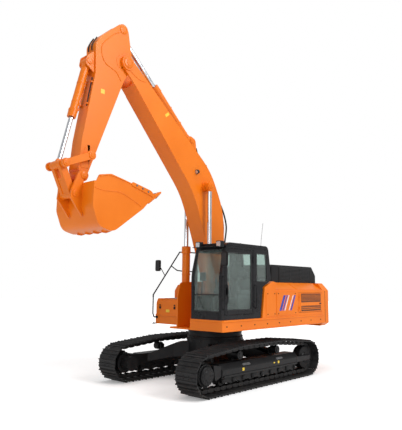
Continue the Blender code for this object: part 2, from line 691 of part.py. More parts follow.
def tube(points, radius, sides=10):
    """Bent tube through points, mitred at each bend."""
    points = [Vector(point) for point in points]
    mesh = bmesh.new()
    direction = (points[1] - points[0]).normalized()
    across = direction.orthogonal().normalized()
    other = direction.cross(across)
    ring = [points[0] + (across * cos(2 * pi * k / sides) + other * sin(2 * pi * k / sides)) * radius
            for k in range(sides)]
    rings = [ring]
    for index in range(1, len(points)):
        direction = (points[index] - points[index - 1]).normalized()
        if index + 1 < len(points):
            plane = (direction + (points[index + 1] - points[index]).normalized()).normalized()
        else:
            plane = direction
        ring = [place + direction * ((points[index] - place).dot(plane) / direction.dot(plane))
                for place in ring]
        rings.append(ring)
    corners = [[mesh.verts.new(place) for place in ring] for ring in rings]
    for low, high in zip(corners, corners[1:]):
        for index in range(sides):
            after = (index + 1) % sides
            mesh.faces.new((low[index], low[after], high[after], high[index]))
    mesh.faces.new(corners[0])
    mesh.faces.new(corners[-1])
    bmesh.ops.recalc_face_normals(mesh, faces=mesh.faces)
    return mesh


def make_handrail(parts):
    """Guard rail round the tool box and over the fuel tank, with the stalk of the right mirror."""
    outer = -UPPER_HALF - 0.005
    inner = outer + 0.135
    radius = 0.018
    rear = 1.05
    top = 3.24
    shelf = box(inner - 0.06, inner + 0.08, rear - 0.05, rear + 0.05, TANK_TOP + GAP, TANK_TOP + 0.012)
    points = [(outer + 0.05, RIGHT_FRONT - GAP, 1.47), (outer + 0.05, -0.80, 1.47), (outer, -0.80, 1.56),
              (outer, -0.80, 2.05), (outer, 0.18, top), (inner, 0.34, top), (inner, rear, top),
              (inner, rear, TANK_TOP + 0.006)]
    middle = [(outer, -0.15, 2.84), (outer + 0.06, 0.02, 2.72), (inner, 0.16, 2.70),
              (inner, rear + 0.003, 2.70)]
    stalk = [(outer, MIRROR_BACK + GAP, 2.80), (outer, -0.57, 2.80), (outer, -0.38, 2.56)]
    solids = [tube(points, radius), tube(middle, 0.9 * radius), tube(stalk, 0.6 * radius), shelf]
    parts.piece("handrail", "upper", "black_paint", solids)


def make_mirrors(parts):
    head = rounded([(-1.59, 2.68, 0.04), (-1.41, 2.68, 0.04), (-1.41, 2.98, 0.04), (-1.59, 2.98, 0.04)], 2)
    parts.piece("mirror_right", "upper", "black_paint", [prism("Y", head, MIRROR_BACK - 0.04, MIRROR_BACK)])
    head = rounded([(1.53, 2.72, 0.03), (1.70, 2.72, 0.03), (1.70, 3.04, 0.03), (1.53, 3.04, 0.03)], 2)
    left = prism("Y", head, -1.60, -1.56)
    stalk = tube([(1.60, -1.57, 2.84), (1.54, -1.42, 2.85), (CAB_LEFT + 0.0004, -1.42, 2.85)], 0.010)
    parts.piece("mirror_left", "upper", "black_paint", [left, stalk])


# ---------------------------------------------------------------- cab
def cab_outline(inset):
    """Side outline of the cab, (y, z), moved inwards by an inset."""
    low = DECK_TOP + GAP
    corners = [(LEFT_FRONT, low, 0.0), (-0.07, low, 0.0), (0.04, 2.29, 0.0), (0.40, 2.45, 0.05),
               (0.27, CAB_TOP, 0.12), (-1.33, CAB_TOP, 0.14), (-1.52, 2.55, 0.9)]
    if inset == 0:
        return rounded(corners)
    points = [Vector((y, z)) for y, z, radius in corners]
    moved = []
    for index, point in enumerate(points):
        before = (point - points[index - 1]).normalized()
        after = (points[(index + 1) % len(points)] - point).normalized()
        normal_a = Vector((-before.y, before.x))
        normal_b = Vector((-after.y, after.x))
        shift = (normal_a + normal_b) / (1 + normal_a.dot(normal_b)) * inset
        radius = max(corners[index][2] - inset, 0.0)
        moved.append((point.x + shift.x, point.y + shift.y, radius))
    return rounded(moved)


def make_cab(parts):
    shell = prism("X", cab_outline(0.0), CAB_RIGHT, CAB_LEFT)
    space = prism("X", cab_outline(CAB_WALL), CAB_RIGHT + CAB_WALL, CAB_LEFT - CAB_WALL)
    x_low, x_high, z_low, z_high = FRONT_WINDOW
    front = box(x_low, x_high, -1.9, -1.0, z_low, z_high)
    x_low, x_high, z_low, z_high = REAR_WINDOW
    rear = box(x_low, x_high, 0.0, 0.8, z_low, z_high)
    y_low, y_high, z_low, z_high = RIGHT_WINDOW
    right = box(0.3, CAB_RIGHT + 0.2, y_low, y_high, z_low, z_high)
    y_low, y_high, z_low, z_high = QUARTER_WINDOW
    quarter = box(CAB_LEFT - 0.2, 1.7, y_low, y_high, z_low, z_high)
    door = box(CAB_LEFT - 0.2, 1.7, DOOR_FRONT - DOOR_FIT, DOOR_REAR + DOOR_FIT, DOOR_SILL - DOOR_FIT,
               DOOR_TOP + DOOR_FIT)
    cutters = [parts.raw("tool", mesh) for mesh in (space, front, rear, right, quarter, door)]
    cab = parts.combine(parts.raw("cab_shell", shell), cutters, "DIFFERENCE")
    parts.combine(cab, [parts.raw("tool", mesh) for mesh in door_knuckles(True)], "UNION")
    parts.hang(cab, "upper", "cab_black")
    make_cab_panes(parts)
    make_cab_door(parts)


def make_cab_door(parts):
    leaf = box(CAB_LEFT - CAB_WALL + 0.005, CAB_LEFT, DOOR_FRONT, DOOR_REAR, DOOR_SILL, DOOR_TOP)
    handle = box(CAB_LEFT - 0.01, CAB_LEFT + 0.03, DOOR_FRONT + 0.05, DOOR_FRONT + 0.09, 2.10, 2.26)
    low_pane = (DOOR_FRONT + 0.08, DOOR_REAR - 0.08, DOOR_SILL + 0.10, DOOR_TOP - 0.08)
    opening = box(CAB_LEFT - 0.2, 1.6, *low_pane)
    door = parts.combine(parts.raw("cab_door", leaf), [parts.raw("tool", opening)], "DIFFERENCE")
    extras = [handle] + door_knuckles(False)
    parts.combine(door, [parts.raw("tool", mesh) for mesh in extras], "UNION")
    parts.hang(door, "cab_door", "cab_black")
    y_low, y_high, z_low, z_high = low_pane
    pane = box(CAB_LEFT - 0.025, CAB_LEFT - 0.025 + PANE, y_low + GAP, y_high - GAP, z_low + GAP,
               z_high - GAP)
    parts.piece("cab_door_glass", "cab_door", "glass", [pane])


def strip(start, end, low, high, depth):
    """Thin slanted strip in (y, z): on the line from start to end, between two heights."""
    def on_line(z):
        return start[0] + (end[0] - start[0]) * (z - start[1]) / (end[1] - start[1])
    return [(on_line(low) + depth, low), (on_line(low) + depth + PANE, low),
            (on_line(high) + depth + PANE, high), (on_line(high) + depth, high)]


def make_cab_panes(parts):
    x_low, x_high, z_low, z_high = FRONT_WINDOW
    middle = 2.55
    depth = 0.02
    lower = strip((LEFT_FRONT, DECK_TOP), (-1.515, middle), z_low + GAP, middle, depth)
    upper = strip((-1.515, middle), (-1.34, CAB_TOP), middle, z_high - GAP, depth)
    outline = [lower[0], lower[1], upper[1], upper[2], upper[3], upper[0]]
    parts.piece("windscreen", "upper", "glass", [prism("X", outline, x_low + GAP, x_high - GAP)])
    x_low, x_high, z_low, z_high = REAR_WINDOW
    rear = strip((0.40, 2.45), (0.27, CAB_TOP), z_low + GAP, z_high - GAP, -0.035)
    parts.piece("cab_rear_glass", "upper", "glass", [prism("X", rear, x_low + GAP, x_high - GAP)])
    y_low, y_high, z_low, z_high = RIGHT_WINDOW
    right = box(CAB_RIGHT + 0.02, CAB_RIGHT + 0.02 + PANE, y_low + GAP, y_high - GAP, z_low + GAP,
                z_high - GAP)
    parts.piece("cab_right_glass", "upper", "glass", [right])
    y_low, y_high, z_low, z_high = QUARTER_WINDOW
    quarter = box(CAB_LEFT - 0.026, CAB_LEFT - 0.026 + PANE, y_low + GAP, y_high - GAP, z_low + GAP,
                  z_high - GAP)
    parts.piece("cab_quarter_glass", "upper", "glass", [quarter])


def make_cab_inside(parts):
    floor = DECK_TOP + CAB_WALL + 2 * GAP
    middle = (CAB_LEFT + CAB_RIGHT) / 2
    base = box(middle - 0.32, middle + 0.32, -0.72, -0.22, floor, floor + 0.22)
    arm_left = box(middle - 0.34, middle - 0.26, -0.78, -0.30, floor + 0.15, floor + 0.58)
    arm_right = box(middle + 0.26, middle + 0.34, -0.78, -0.30, floor + 0.15, floor + 0.58)
    levers = [rod((middle + side * 0.30, -0.72, floor + 0.57), (middle + side * 0.28, -0.76,
                                                                floor + 0.78), 0.022, 8)
              for side in (-1, 1)]
    parts.piece("control_console", "upper", "black_paint", [base, arm_left, arm_right] + levers)
    cushion = box(middle - 0.24, middle + 0.24, -0.74, -0.24, floor + 0.22 + GAP, floor + 0.40)
    back = prism("X", [(-0.26, floor + 0.30), (-0.24, floor + 0.30), (-0.12, floor + 1.08),
                       (-0.24, floor + 1.10),
                       (-0.36, floor + 0.38)], middle - 0.22, middle + 0.22)
    parts.piece("operator_seat", "upper", "seat_fabric", [cushion, back])
    z = CAB_TOP - 0.07
    bar = box(0.80, 1.36, -1.475, -1.435, z, z + 0.04)
    feet = [box(x, x + 0.03, -1.44, -1.3427, z, z + 0.03) for x in (0.84, 1.29)]
    lamps = [prism("Y", rounded([(x - 0.07, z - 0.05, 0.02), (x + 0.07, z - 0.05, 0.02),
                                 (x + 0.07, z + 0.09, 0.02),
                                 (x - 0.07, z + 0.09, 0.02)], 2), -1.54, -1.43) for x in (0.78, 1.40)]
    parts.piece("cab_lamp_bar", "upper", "black_paint", [bar] + feet + lamps)


# ---------------------------------------------------------------- boom, arm and bucket
def make_cylinder(parts, name, barrel_body, rod_body, foot, eye, x, eye_half, barrel, rod_radius,
                  barrel_length,
                  foot_half, eye_radius):
    """Barrel with its foot eye, and the rod with its own eye: foot and eye are (y, z) points."""
    gland = along(foot, eye, barrel_length)
    foot_eye = disc(foot, x - foot_half, x + foot_half, barrel * 1.1, 16)
    tube = rod(at_x(along(foot, eye, 0.06), x), at_x(gland, x), barrel, 16)
    collar = rod(at_x(along(foot, eye, barrel_length - 0.16), x), at_x(along(foot, eye,
                                                                             barrel_length + 0.01), x),
                 barrel * 1.12, 16)
    bore = rod(at_x(along(foot, eye, barrel * 1.1 + 0.02), x), at_x(along(foot, eye, barrel_length + 0.1),
                                                                    x),
               rod_radius + PIN_GAP, 16)
    parts.piece(name + "_barrel", barrel_body, "orange_paint", [tube, foot_eye, collar], [bore])
    start = along(foot, eye, barrel_length - ROD_OVERLAP)
    length = span(foot, eye)
    bar = rod(at_x(start, x), at_x(along(foot, eye, length - eye_radius * 0.7), x), rod_radius, 16)
    head = disc(eye, x - eye_half, x + eye_half, eye_radius, 16)
    parts.piece(name + "_rod", rod_body, "chrome", [bar, head])


def make_boom(parts):
    # y, z, corner radius
    outline = rounded([(-0.15, 2.06, 0.0), (0.16, 2.16, 0.0), (0.06, 3.46, 0.8), (0.02, 4.25, 1.5),
                       (-0.47, 5.20, 1.7), (-2.75, 6.98, 0.5), (-3.19, 7.31, 0.0), (-3.43, 7.08, 0.0),
                       (-3.04, 6.71, 0.3), (-1.10, 4.57, 2.2), (-0.69, 3.56, 0.6)])
    body = prism("X", outline, -BOOM_HALF, BOOM_HALF)
    foot = disc(BOOM_FOOT, -PLATE_INNER + PIN_GAP, PLATE_INNER - PIN_GAP, 0.18, 20)
    tip = disc(BOOM_TIP, -BOOM_HALF - 0.02, BOOM_HALF + 0.02, 0.17, 20)
    eye_inner = BOOM_CYLINDER_X - 0.065
    boss = disc(BOOM_EYE, -eye_inner + OPEN_GAP, eye_inner - OPEN_GAP, 0.12, 20)
    foot_y, foot_z = ARM_CYLINDER_FOOT
    ears = both_sides(prism("X", rounded([(foot_y - 0.30, foot_z - 0.10, 0),
                                          (foot_y - 0.08, foot_z + 0.13, 0.1),
                                          (foot_y + 0.13, foot_z + 0.06, 0.1),
                                          (foot_y + 0.20, foot_z - 0.45, 0)]),
                            0.11, 0.14))
    slot = disc(BOOM_TIP, -FORK_HALF, FORK_HALF, 0.48, 32)
    parts.piece("boom", "boom", "orange_paint", [body, foot, tip, boss] + ears, [slot])


def make_arm(parts):
    outline = rounded([(-3.215, 7.0, 0.1), (-3.125, 7.265, 0.1), (-3.265, 7.98, 0.08), (-3.50, 8.04, 0.06),
                       (-3.98, 7.58, 0.2), (-4.12, 7.36, 0.2), (-4.10, 6.72, 0.3), (-4.36, 5.22, 0.4),
                       (-4.42, 4.58, 0.05), (-4.32, 4.42, 0.05), (-4.20, 4.50, 0.03), (-3.36, 6.72, 0.1)])
    body = prism("X", outline, -ARM_HALF, ARM_HALF)
    boss = disc(BOOM_TIP, -FORK_HALF + PIN_GAP, FORK_HALF - PIN_GAP, 0.17, 20)
    tip = disc(BUCKET_PIN, -EAR_INNER + PIN_GAP, EAR_INNER - PIN_GAP, 0.12, 20)
    eye_boss = disc(ARM_EYE, -ARM_HALF, ARM_HALF, 0.13, 16)
    pivot = disc(ROCKER_PIN, -ROCKER_INNER + PIN_GAP, ROCKER_INNER - PIN_GAP, 0.085, 16)
    foot_y, foot_z = BUCKET_CYLINDER_FOOT
    ears = both_sides(prism("X", rounded([(foot_y + 0.15, foot_z - 0.24, 0),
                                          (foot_y - 0.10, foot_z - 0.08, 0.07),
                                          (foot_y - 0.07, foot_z + 0.11, 0.08),
                                          (foot_y + 0.15, foot_z + 0.30, 0)]),
                            0.10, 0.13))
    eye_slot = disc(ARM_EYE, -ARM_EYE_HALF - OPEN_GAP, ARM_EYE_HALF + OPEN_GAP, 0.42, 24)
    foot_slot = disc(BUCKET_CYLINDER_FOOT, -0.10, 0.10, 0.125, 16)
    parts.piece("arm", "arm", "orange_paint", [body, boss, tip, eye_boss, pivot] + ears,
                [eye_slot, foot_slot])


def make_linkage(parts):
    """Two rocker bars beside the arm and the bucket link between them."""
    outer = ROCKER_INNER + ROCKER_THICK
    for side, sign in (("left", 1), ("right", -1)):
        low, high = sorted((sign * ROCKER_INNER, sign * outer))
        base = disc(ROCKER_PIN, low, high, 0.10, 16)
        end = disc(SHARED_PIN, low, high, 0.09, 16)
        bar = prism("X", bar_outline(ROCKER_PIN, SHARED_PIN, 0.075, 0.065), low, high)
        stub = disc(SHARED_PIN, *sorted((sign * (LINK_EYE_OUTER + OPEN_GAP),
                                         sign * ROCKER_INNER + sign * 0.01)), 0.06, 12)
        parts.piece("rocker_" + side, "rocker", "orange_paint", [bar, base, end, stub])
    upper = both_sides(disc(SHARED_PIN, LINK_EYE_INNER, LINK_EYE_OUTER, 0.085, 16),
                       prism("X", bar_outline(SHARED_PIN, LINK_PIN, 0.07, 0.075), LINK_EYE_INNER,
                             LINK_EYE_OUTER))
    lower = disc(LINK_PIN, -EAR_INNER + PIN_GAP, EAR_INNER - PIN_GAP, 0.08, 16)
    start = along(SHARED_PIN, LINK_PIN, 0.26)
    web = prism("X", bar_outline(start, LINK_PIN, 0.06, 0.06), -LINK_EYE_OUTER, LINK_EYE_OUTER)
    parts.piece("bucket_link", "bucket_link", "orange_paint", [web, lower] + upper)


def bar_outline(start, end, start_half, end_half):
    """Straight bar between two (y, z) points, with its half width at each end."""
    length = span(start, end)
    normal = (-(end[1] - start[1]) / length, (end[0] - start[0]) / length)
    return [(start[0] + normal[0] * start_half, start[1] + normal[1] * start_half),
            (start[0] - normal[0] * start_half, start[1] - normal[1] * start_half),
            (end[0] - normal[0] * end_half, end[1] - normal[1] * end_half),
            (end[0] + normal[0] * end_half, end[1] + normal[1] * end_half)]


def make_bucket(parts):
    # y, z, corner radius: back plate, heel, floor, lip, mouth
    profile = [(-4.36, 4.29, 0.0), (-4.37, 3.80, 0.25), (-4.22, 3.42, 0.22), (-3.86, 3.33, 0.25),
               (-3.09, 3.89, 0.2),
               (-2.80, 4.20, 0.0), (-2.88, 4.26, 0.0), (-3.95, 4.49, 0.15), (-4.24, 4.43, 0.06),
               (-4.30, 4.30, 0.0)]
    shell = prism("X", rounded(profile, 5), -BUCKET_HALF, BUCKET_HALF)
    wall = BUCKET_WALL
    hollow = [(-4.36 + wall, 4.60, 0.0), (-4.37 + wall, 3.80, 0.22), (-4.22 + wall, 3.42 + wall, 0.19),
              (-3.86, 3.33 + wall, 0.22), (-3.10, 3.89 + wall, 0.18), (-2.86, 4.15 + wall, 0.0),
              (-2.86, 4.60, 0.0)]
    space = prism("X", rounded(hollow, 5), -BUCKET_HALF + wall, BUCKET_HALF - wall)
    ear = rounded([(-4.34, 3.62, 0.0), (-4.62, 3.98, 0.06), (-4.60, 4.14, 0.08), (-4.44, 4.53, 0.10),
                   (-4.24, 4.58, 0.10),
                   (-4.19, 4.40, 0.06), (-4.34, 4.20, 0.0)])
    ears = both_sides(prism("X", ear, EAR_INNER, EAR_INNER + EAR_THICK))
    pitch = (2 * BUCKET_HALF - 0.14) / (TOOTH_COUNT - 1)
    tooth = [(-2.96, 4.10), (-2.92, 4.02), (-2.57, 4.30), (-2.58, 4.33), (-2.90, 4.20)]
    teeth = [prism("X", tooth, x - 0.055, x + 0.055)
             for x in (-BUCKET_HALF + 0.07 + pitch * k for k in range(TOOTH_COUNT))]
    bucket = parts.combine(parts.raw("bucket", shell), [parts.raw("tool", mesh) for mesh in ears], "UNION")
    parts.combine(bucket, [parts.raw("tool", space)], "DIFFERENCE")
    parts.combine(bucket, [parts.raw("tool", mesh) for mesh in teeth], "UNION")
    parts.hang(bucket, "bucket", "orange_paint")


def make_front(parts):
    make_boom(parts)
    for side, sign in (("left", 1), ("right", -1)):
        make_cylinder(parts, "boom_cylinder_" + side, "boom_barrels", "boom_rods", BOOM_CYLINDER_FOOT,
                      BOOM_EYE,
                      sign * BOOM_CYLINDER_X, 0.065, BOOM_BARREL_RADIUS, BOOM_ROD_RADIUS,
                      BOOM_BARREL_LENGTH,
                      BOOM_CYLINDER_X - PLATE_INNER - PLATE_THICK - PIN_GAP, 0.11)
    make_cylinder(parts, "arm_cylinder", "arm_barrel", "arm_rod", ARM_CYLINDER_FOOT, ARM_EYE, 0.0,
                  ARM_EYE_HALF,
                  ARM_BARREL_RADIUS, ARM_ROD_RADIUS, ARM_BARREL_LENGTH, 0.11 - PIN_GAP, 0.11)
    make_arm(parts)
    make_cylinder(parts, "bucket_cylinder", "bucket_barrel", "bucket_rod", BUCKET_CYLINDER_FOOT,
                  SHARED_PIN, 0.0,
                  LINK_EYE_INNER - OPEN_GAP, BUCKET_BARREL_RADIUS, BUCKET_ROD_RADIUS, BUCKET_BARREL_LENGTH,
                  0.10 - PIN_GAP, 0.085)
    make_linkage(parts)
    make_bucket(parts)


def main():
    clear_scene()
    parts = Assembly()
    pivots = {
        "undercarriage": (0, 0, 0), "upper": (0, 0, DECK_UNDER), "boom": at_x(BOOM_FOOT, 0),
        "boom_barrels": at_x(BOOM_CYLINDER_FOOT, 0), "boom_rods": at_x(BOOM_EYE, 0),
              "arm": at_x(BOOM_TIP, 0),
        "arm_barrel": at_x(ARM_CYLINDER_FOOT, 0), "arm_rod": at_x(ARM_EYE, 0),
              "bucket": at_x(BUCKET_PIN, 0),
        "bucket_barrel": at_x(BUCKET_CYLINDER_FOOT, 0), "bucket_rod": at_x(SHARED_PIN, 0),
        "rocker": at_x(ROCKER_PIN, 0), "bucket_link": at_x(LINK_PIN, 0),
        "cab_door": (DOOR_HINGE[0], DOOR_HINGE[1], DOOR_SILL),
        "left_rear_door": (PANEL_HINGE[0], PANEL_HINGE[1], PANEL_LOW),
        "right_rear_door": (-PANEL_HINGE[0], PANEL_HINGE[1], PANEL_LOW),
        "engine_hood": (0, 0.92, HOUSE_TOP + GAP),
        "tool_box_lid": at_x(LID_HINGE, -1.0),
    }
    for name, point in pivots.items():
        parts.pivot(name, point)
    bpy.context.view_layer.update()
    for side, sign in (("left", 1), ("right", -1)):
        make_tracks(parts, side, sign)
        make_track_frame(parts, side, sign)
        make_sprocket(parts, side, sign)
        make_idler(parts, side, sign)
        make_rollers(parts, side, sign)
    make_carbody(parts)
    make_upper_frame(parts)
    make_counterweight(parts)
    make_house(parts)
    make_house_doors(parts)
    make_hood(parts)
    make_right_side(parts)
    make_left_fender(parts)
    make_handrail(parts)
    make_mirrors(parts)
    make_cab(parts)
    make_cab_inside(parts)
    make_front(parts)


main()
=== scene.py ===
"""Looks of a crawler excavator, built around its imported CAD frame.

Lengths are metres. The ground is z = 0, the front is -Y and the operator's left is +X. The tables
of points are in machine coordinates, whose Y starts at the swing axis, SWING_Y behind the frame's origin.
"""

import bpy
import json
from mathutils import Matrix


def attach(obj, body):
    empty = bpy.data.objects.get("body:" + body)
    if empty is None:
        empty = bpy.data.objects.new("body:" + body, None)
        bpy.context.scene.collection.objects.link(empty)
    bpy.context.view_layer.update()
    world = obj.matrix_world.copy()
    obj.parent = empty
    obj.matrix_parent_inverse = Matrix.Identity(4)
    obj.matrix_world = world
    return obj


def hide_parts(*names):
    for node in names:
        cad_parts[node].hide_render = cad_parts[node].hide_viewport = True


bl_info = {
    "name": "Crawler excavator looks",
    "version": (1, 0, 0),
    "blender": (4, 5, 0),
    "location": "View3D > Sidebar > Excavator",
    "description": "Builds the visible detail and finishes of a crawler excavator",
    "category": "Object",
}

import json
import math

import bmesh
import bpy
import numpy as np
from mathutils import Matrix, Vector
from mathutils.bvhtree import BVHTree

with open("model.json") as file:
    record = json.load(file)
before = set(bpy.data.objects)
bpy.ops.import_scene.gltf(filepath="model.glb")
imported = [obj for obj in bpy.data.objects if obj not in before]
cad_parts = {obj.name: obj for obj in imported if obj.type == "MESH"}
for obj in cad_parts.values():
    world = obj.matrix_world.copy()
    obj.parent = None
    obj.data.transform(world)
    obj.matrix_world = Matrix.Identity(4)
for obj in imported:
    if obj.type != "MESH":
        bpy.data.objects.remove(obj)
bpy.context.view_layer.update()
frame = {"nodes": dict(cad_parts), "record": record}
SWING_Y = 0.66

# camera: where it stands in machine coordinates, heading, pitch and roll in degrees
CAMERA_PLACE = (8.9176, -9.7199, 2.2754)
CAMERA_AZIMUTH = 44.156
CAMERA_PITCH = 8.117
CAMERA_ROLL = 0.54
CAMERA_TURN = -2.0          # moved round the swing axis by this many degrees
FOCAL_PIXELS = 502.92
IMAGE_SIZE = (402, 430)
IMAGE_CENTRE = (201.67, 214.89)
SENSOR = 36.0

# tracks
GAUGE = 2.59
SHOE_WIDTH = 0.60
WHEEL_BASE = 4.03
RAIL_RADIUS = 0.285
AXLE_Z = 0.455
CARRIER = (0.75, 0.75, 0.10)        # y, z, radius of the carrier rollers
SHOES = 50
PIN_LINE = 0.06                     # chain pins outside the rail
SHOE_LOW = 0.12                     # shoe plate outside the rail
SHOE_TIP = 0.17

# pivots (y, z)
BOOM_FOOT = (0.0, 2.15)
BOOM_TIP = (-3.29, 7.18)
BOOM_EYE = (-0.70, 4.77)
BOOM_CYLINDER_FOOT = (-0.70, 1.62)
ARM_CYLINDER_FOOT = (-1.10, 5.90)
ARM_EYE = (-3.40, 7.94)
BUCKET_PIN = (-4.32, 4.455)
ROCKER_PIN = (-4.20, 4.88)
SHARED_PIN = (-4.78, 4.62)
LINK_PIN = (-4.51, 4.06)
BUCKET_CYLINDER_FOOT = (-4.22, 6.93)


# ---------------------------------------------------------------- finishes
def new_material(name):
    """Empty node material with a shader: (material, nodes, links, shader, object coordinates)."""
    material = bpy.data.materials.new(name)
    material.use_nodes = True
    nodes = material.node_tree.nodes
    nodes.clear()
    shader = nodes.new("ShaderNodeBsdfPrincipled")
    output = nodes.new("ShaderNodeOutputMaterial")
    material.node_tree.links.new(shader.outputs["BSDF"], output.inputs["Surface"])
    coords = nodes.new("ShaderNodeTexCoord").outputs["Object"]
    return material, nodes, material.node_tree.links, shader, coords


def noise(nodes, links, coords, scale, detail=4.0, roughness=0.55):
    """Fractal noise at a scale, between 0 and 1."""
    node = nodes.new("ShaderNodeTexNoise")
    node.inputs["Scale"].default_value = scale
    node.inputs["Detail"].default_value = detail
    node.inputs["Roughness"].default_value = roughness
    links.new(coords, node.inputs["Vector"])
    return node.outputs["Fac"]


def ramp(nodes, links, fac, stops):
    """Colour that blends between stops (position, colour) by a value."""
    node = nodes.new("ShaderNodeValToRGB")
    elements = node.color_ramp.elements
    while len(elements) < len(stops):
        elements.new(0.5)
    for element, (position, colour) in zip(elements, stops):
        element.position = position
        element.color = (*colour, 1.0)
    links.new(fac, node.inputs["Fac"])
    return node.outputs["Color"]


def spread(nodes, links, value, source, target):
    """Value stretched from one range to another."""
    node = nodes.new("ShaderNodeMapRange")
    node.inputs["From Min"].default_value, node.inputs["From Max"].default_value = source
    node.inputs["To Min"].default_value, node.inputs["To Max"].default_value = target
    links.new(value, node.inputs["Value"])
    return node.outputs["Result"]


def mixed(nodes, links, fac, first, second):
    """Colour between two colours or colour sockets."""
    node = nodes.new("ShaderNodeMix")
    node.data_type = "RGBA"
    links.new(fac, node.inputs["Factor"])
    for socket, value in ((node.inputs["A"], first), (node.inputs["B"], second)):
        if isinstance(value, tuple):
            socket.default_value = (*value, 1.0)
        else:
            links.new(value, socket)
    return node.outputs["Result"]


def finish(name, dark, light, rough, metallic=0.0, scale=3.0, grain=160.0, relief=0.0006, coat=0.0, dust=None,
           shine=0.5):
    """Drift between two tones and two roughnesses, fine relief, and dust that gathers low."""
    material, nodes, links, shader, coords = new_material(name)
    slow = noise(nodes, links, coords, scale)
    fine = noise(nodes, links, coords, grain, 2.0)
    colour = ramp(nodes, links, slow, [(0.3, dark), (0.7, light)])
    roughness = spread(nodes, links, slow, (0.3, 0.7), rough)
    if dust is not None:
        height = nodes.new("ShaderNodeSeparateXYZ")
        links.new(coords, height.inputs["Vector"])
        low = spread(nodes, links, height.outputs["Z"], (dust[1], 0.0), (0.0, 0.75))
        speckle = noise(nodes, links, coords, 9.0, 6.0, 0.7)
        patch = spread(nodes, links, speckle, (0.42, 0.72), (0.0, 1.0))
        amount = nodes.new("ShaderNodeMath")
        amount.operation = "MULTIPLY"
        amount.use_clamp = True
        links.new(low, amount.inputs[0])
        links.new(patch, amount.inputs[1])
        colour = mixed(nodes, links, amount.outputs["Value"], colour, dust[0])
    links.new(colour, shader.inputs["Base Color"])
    links.new(roughness, shader.inputs["Roughness"])
    bump = nodes.new("ShaderNodeBump")
    bump.inputs["Strength"].default_value = 0.3
    bump.inputs["Distance"].default_value = relief
    links.new(fine, bump.inputs["Height"])
    links.new(bump.outputs["Normal"], shader.inputs["Normal"])
    shader.inputs["Metallic"].default_value = metallic
    shader.inputs["Specular IOR Level"].default_value = shine
    shader.inputs["Coat Weight"].default_value = coat
    shader.inputs["Coat Roughness"].default_value = 0.06
    return material


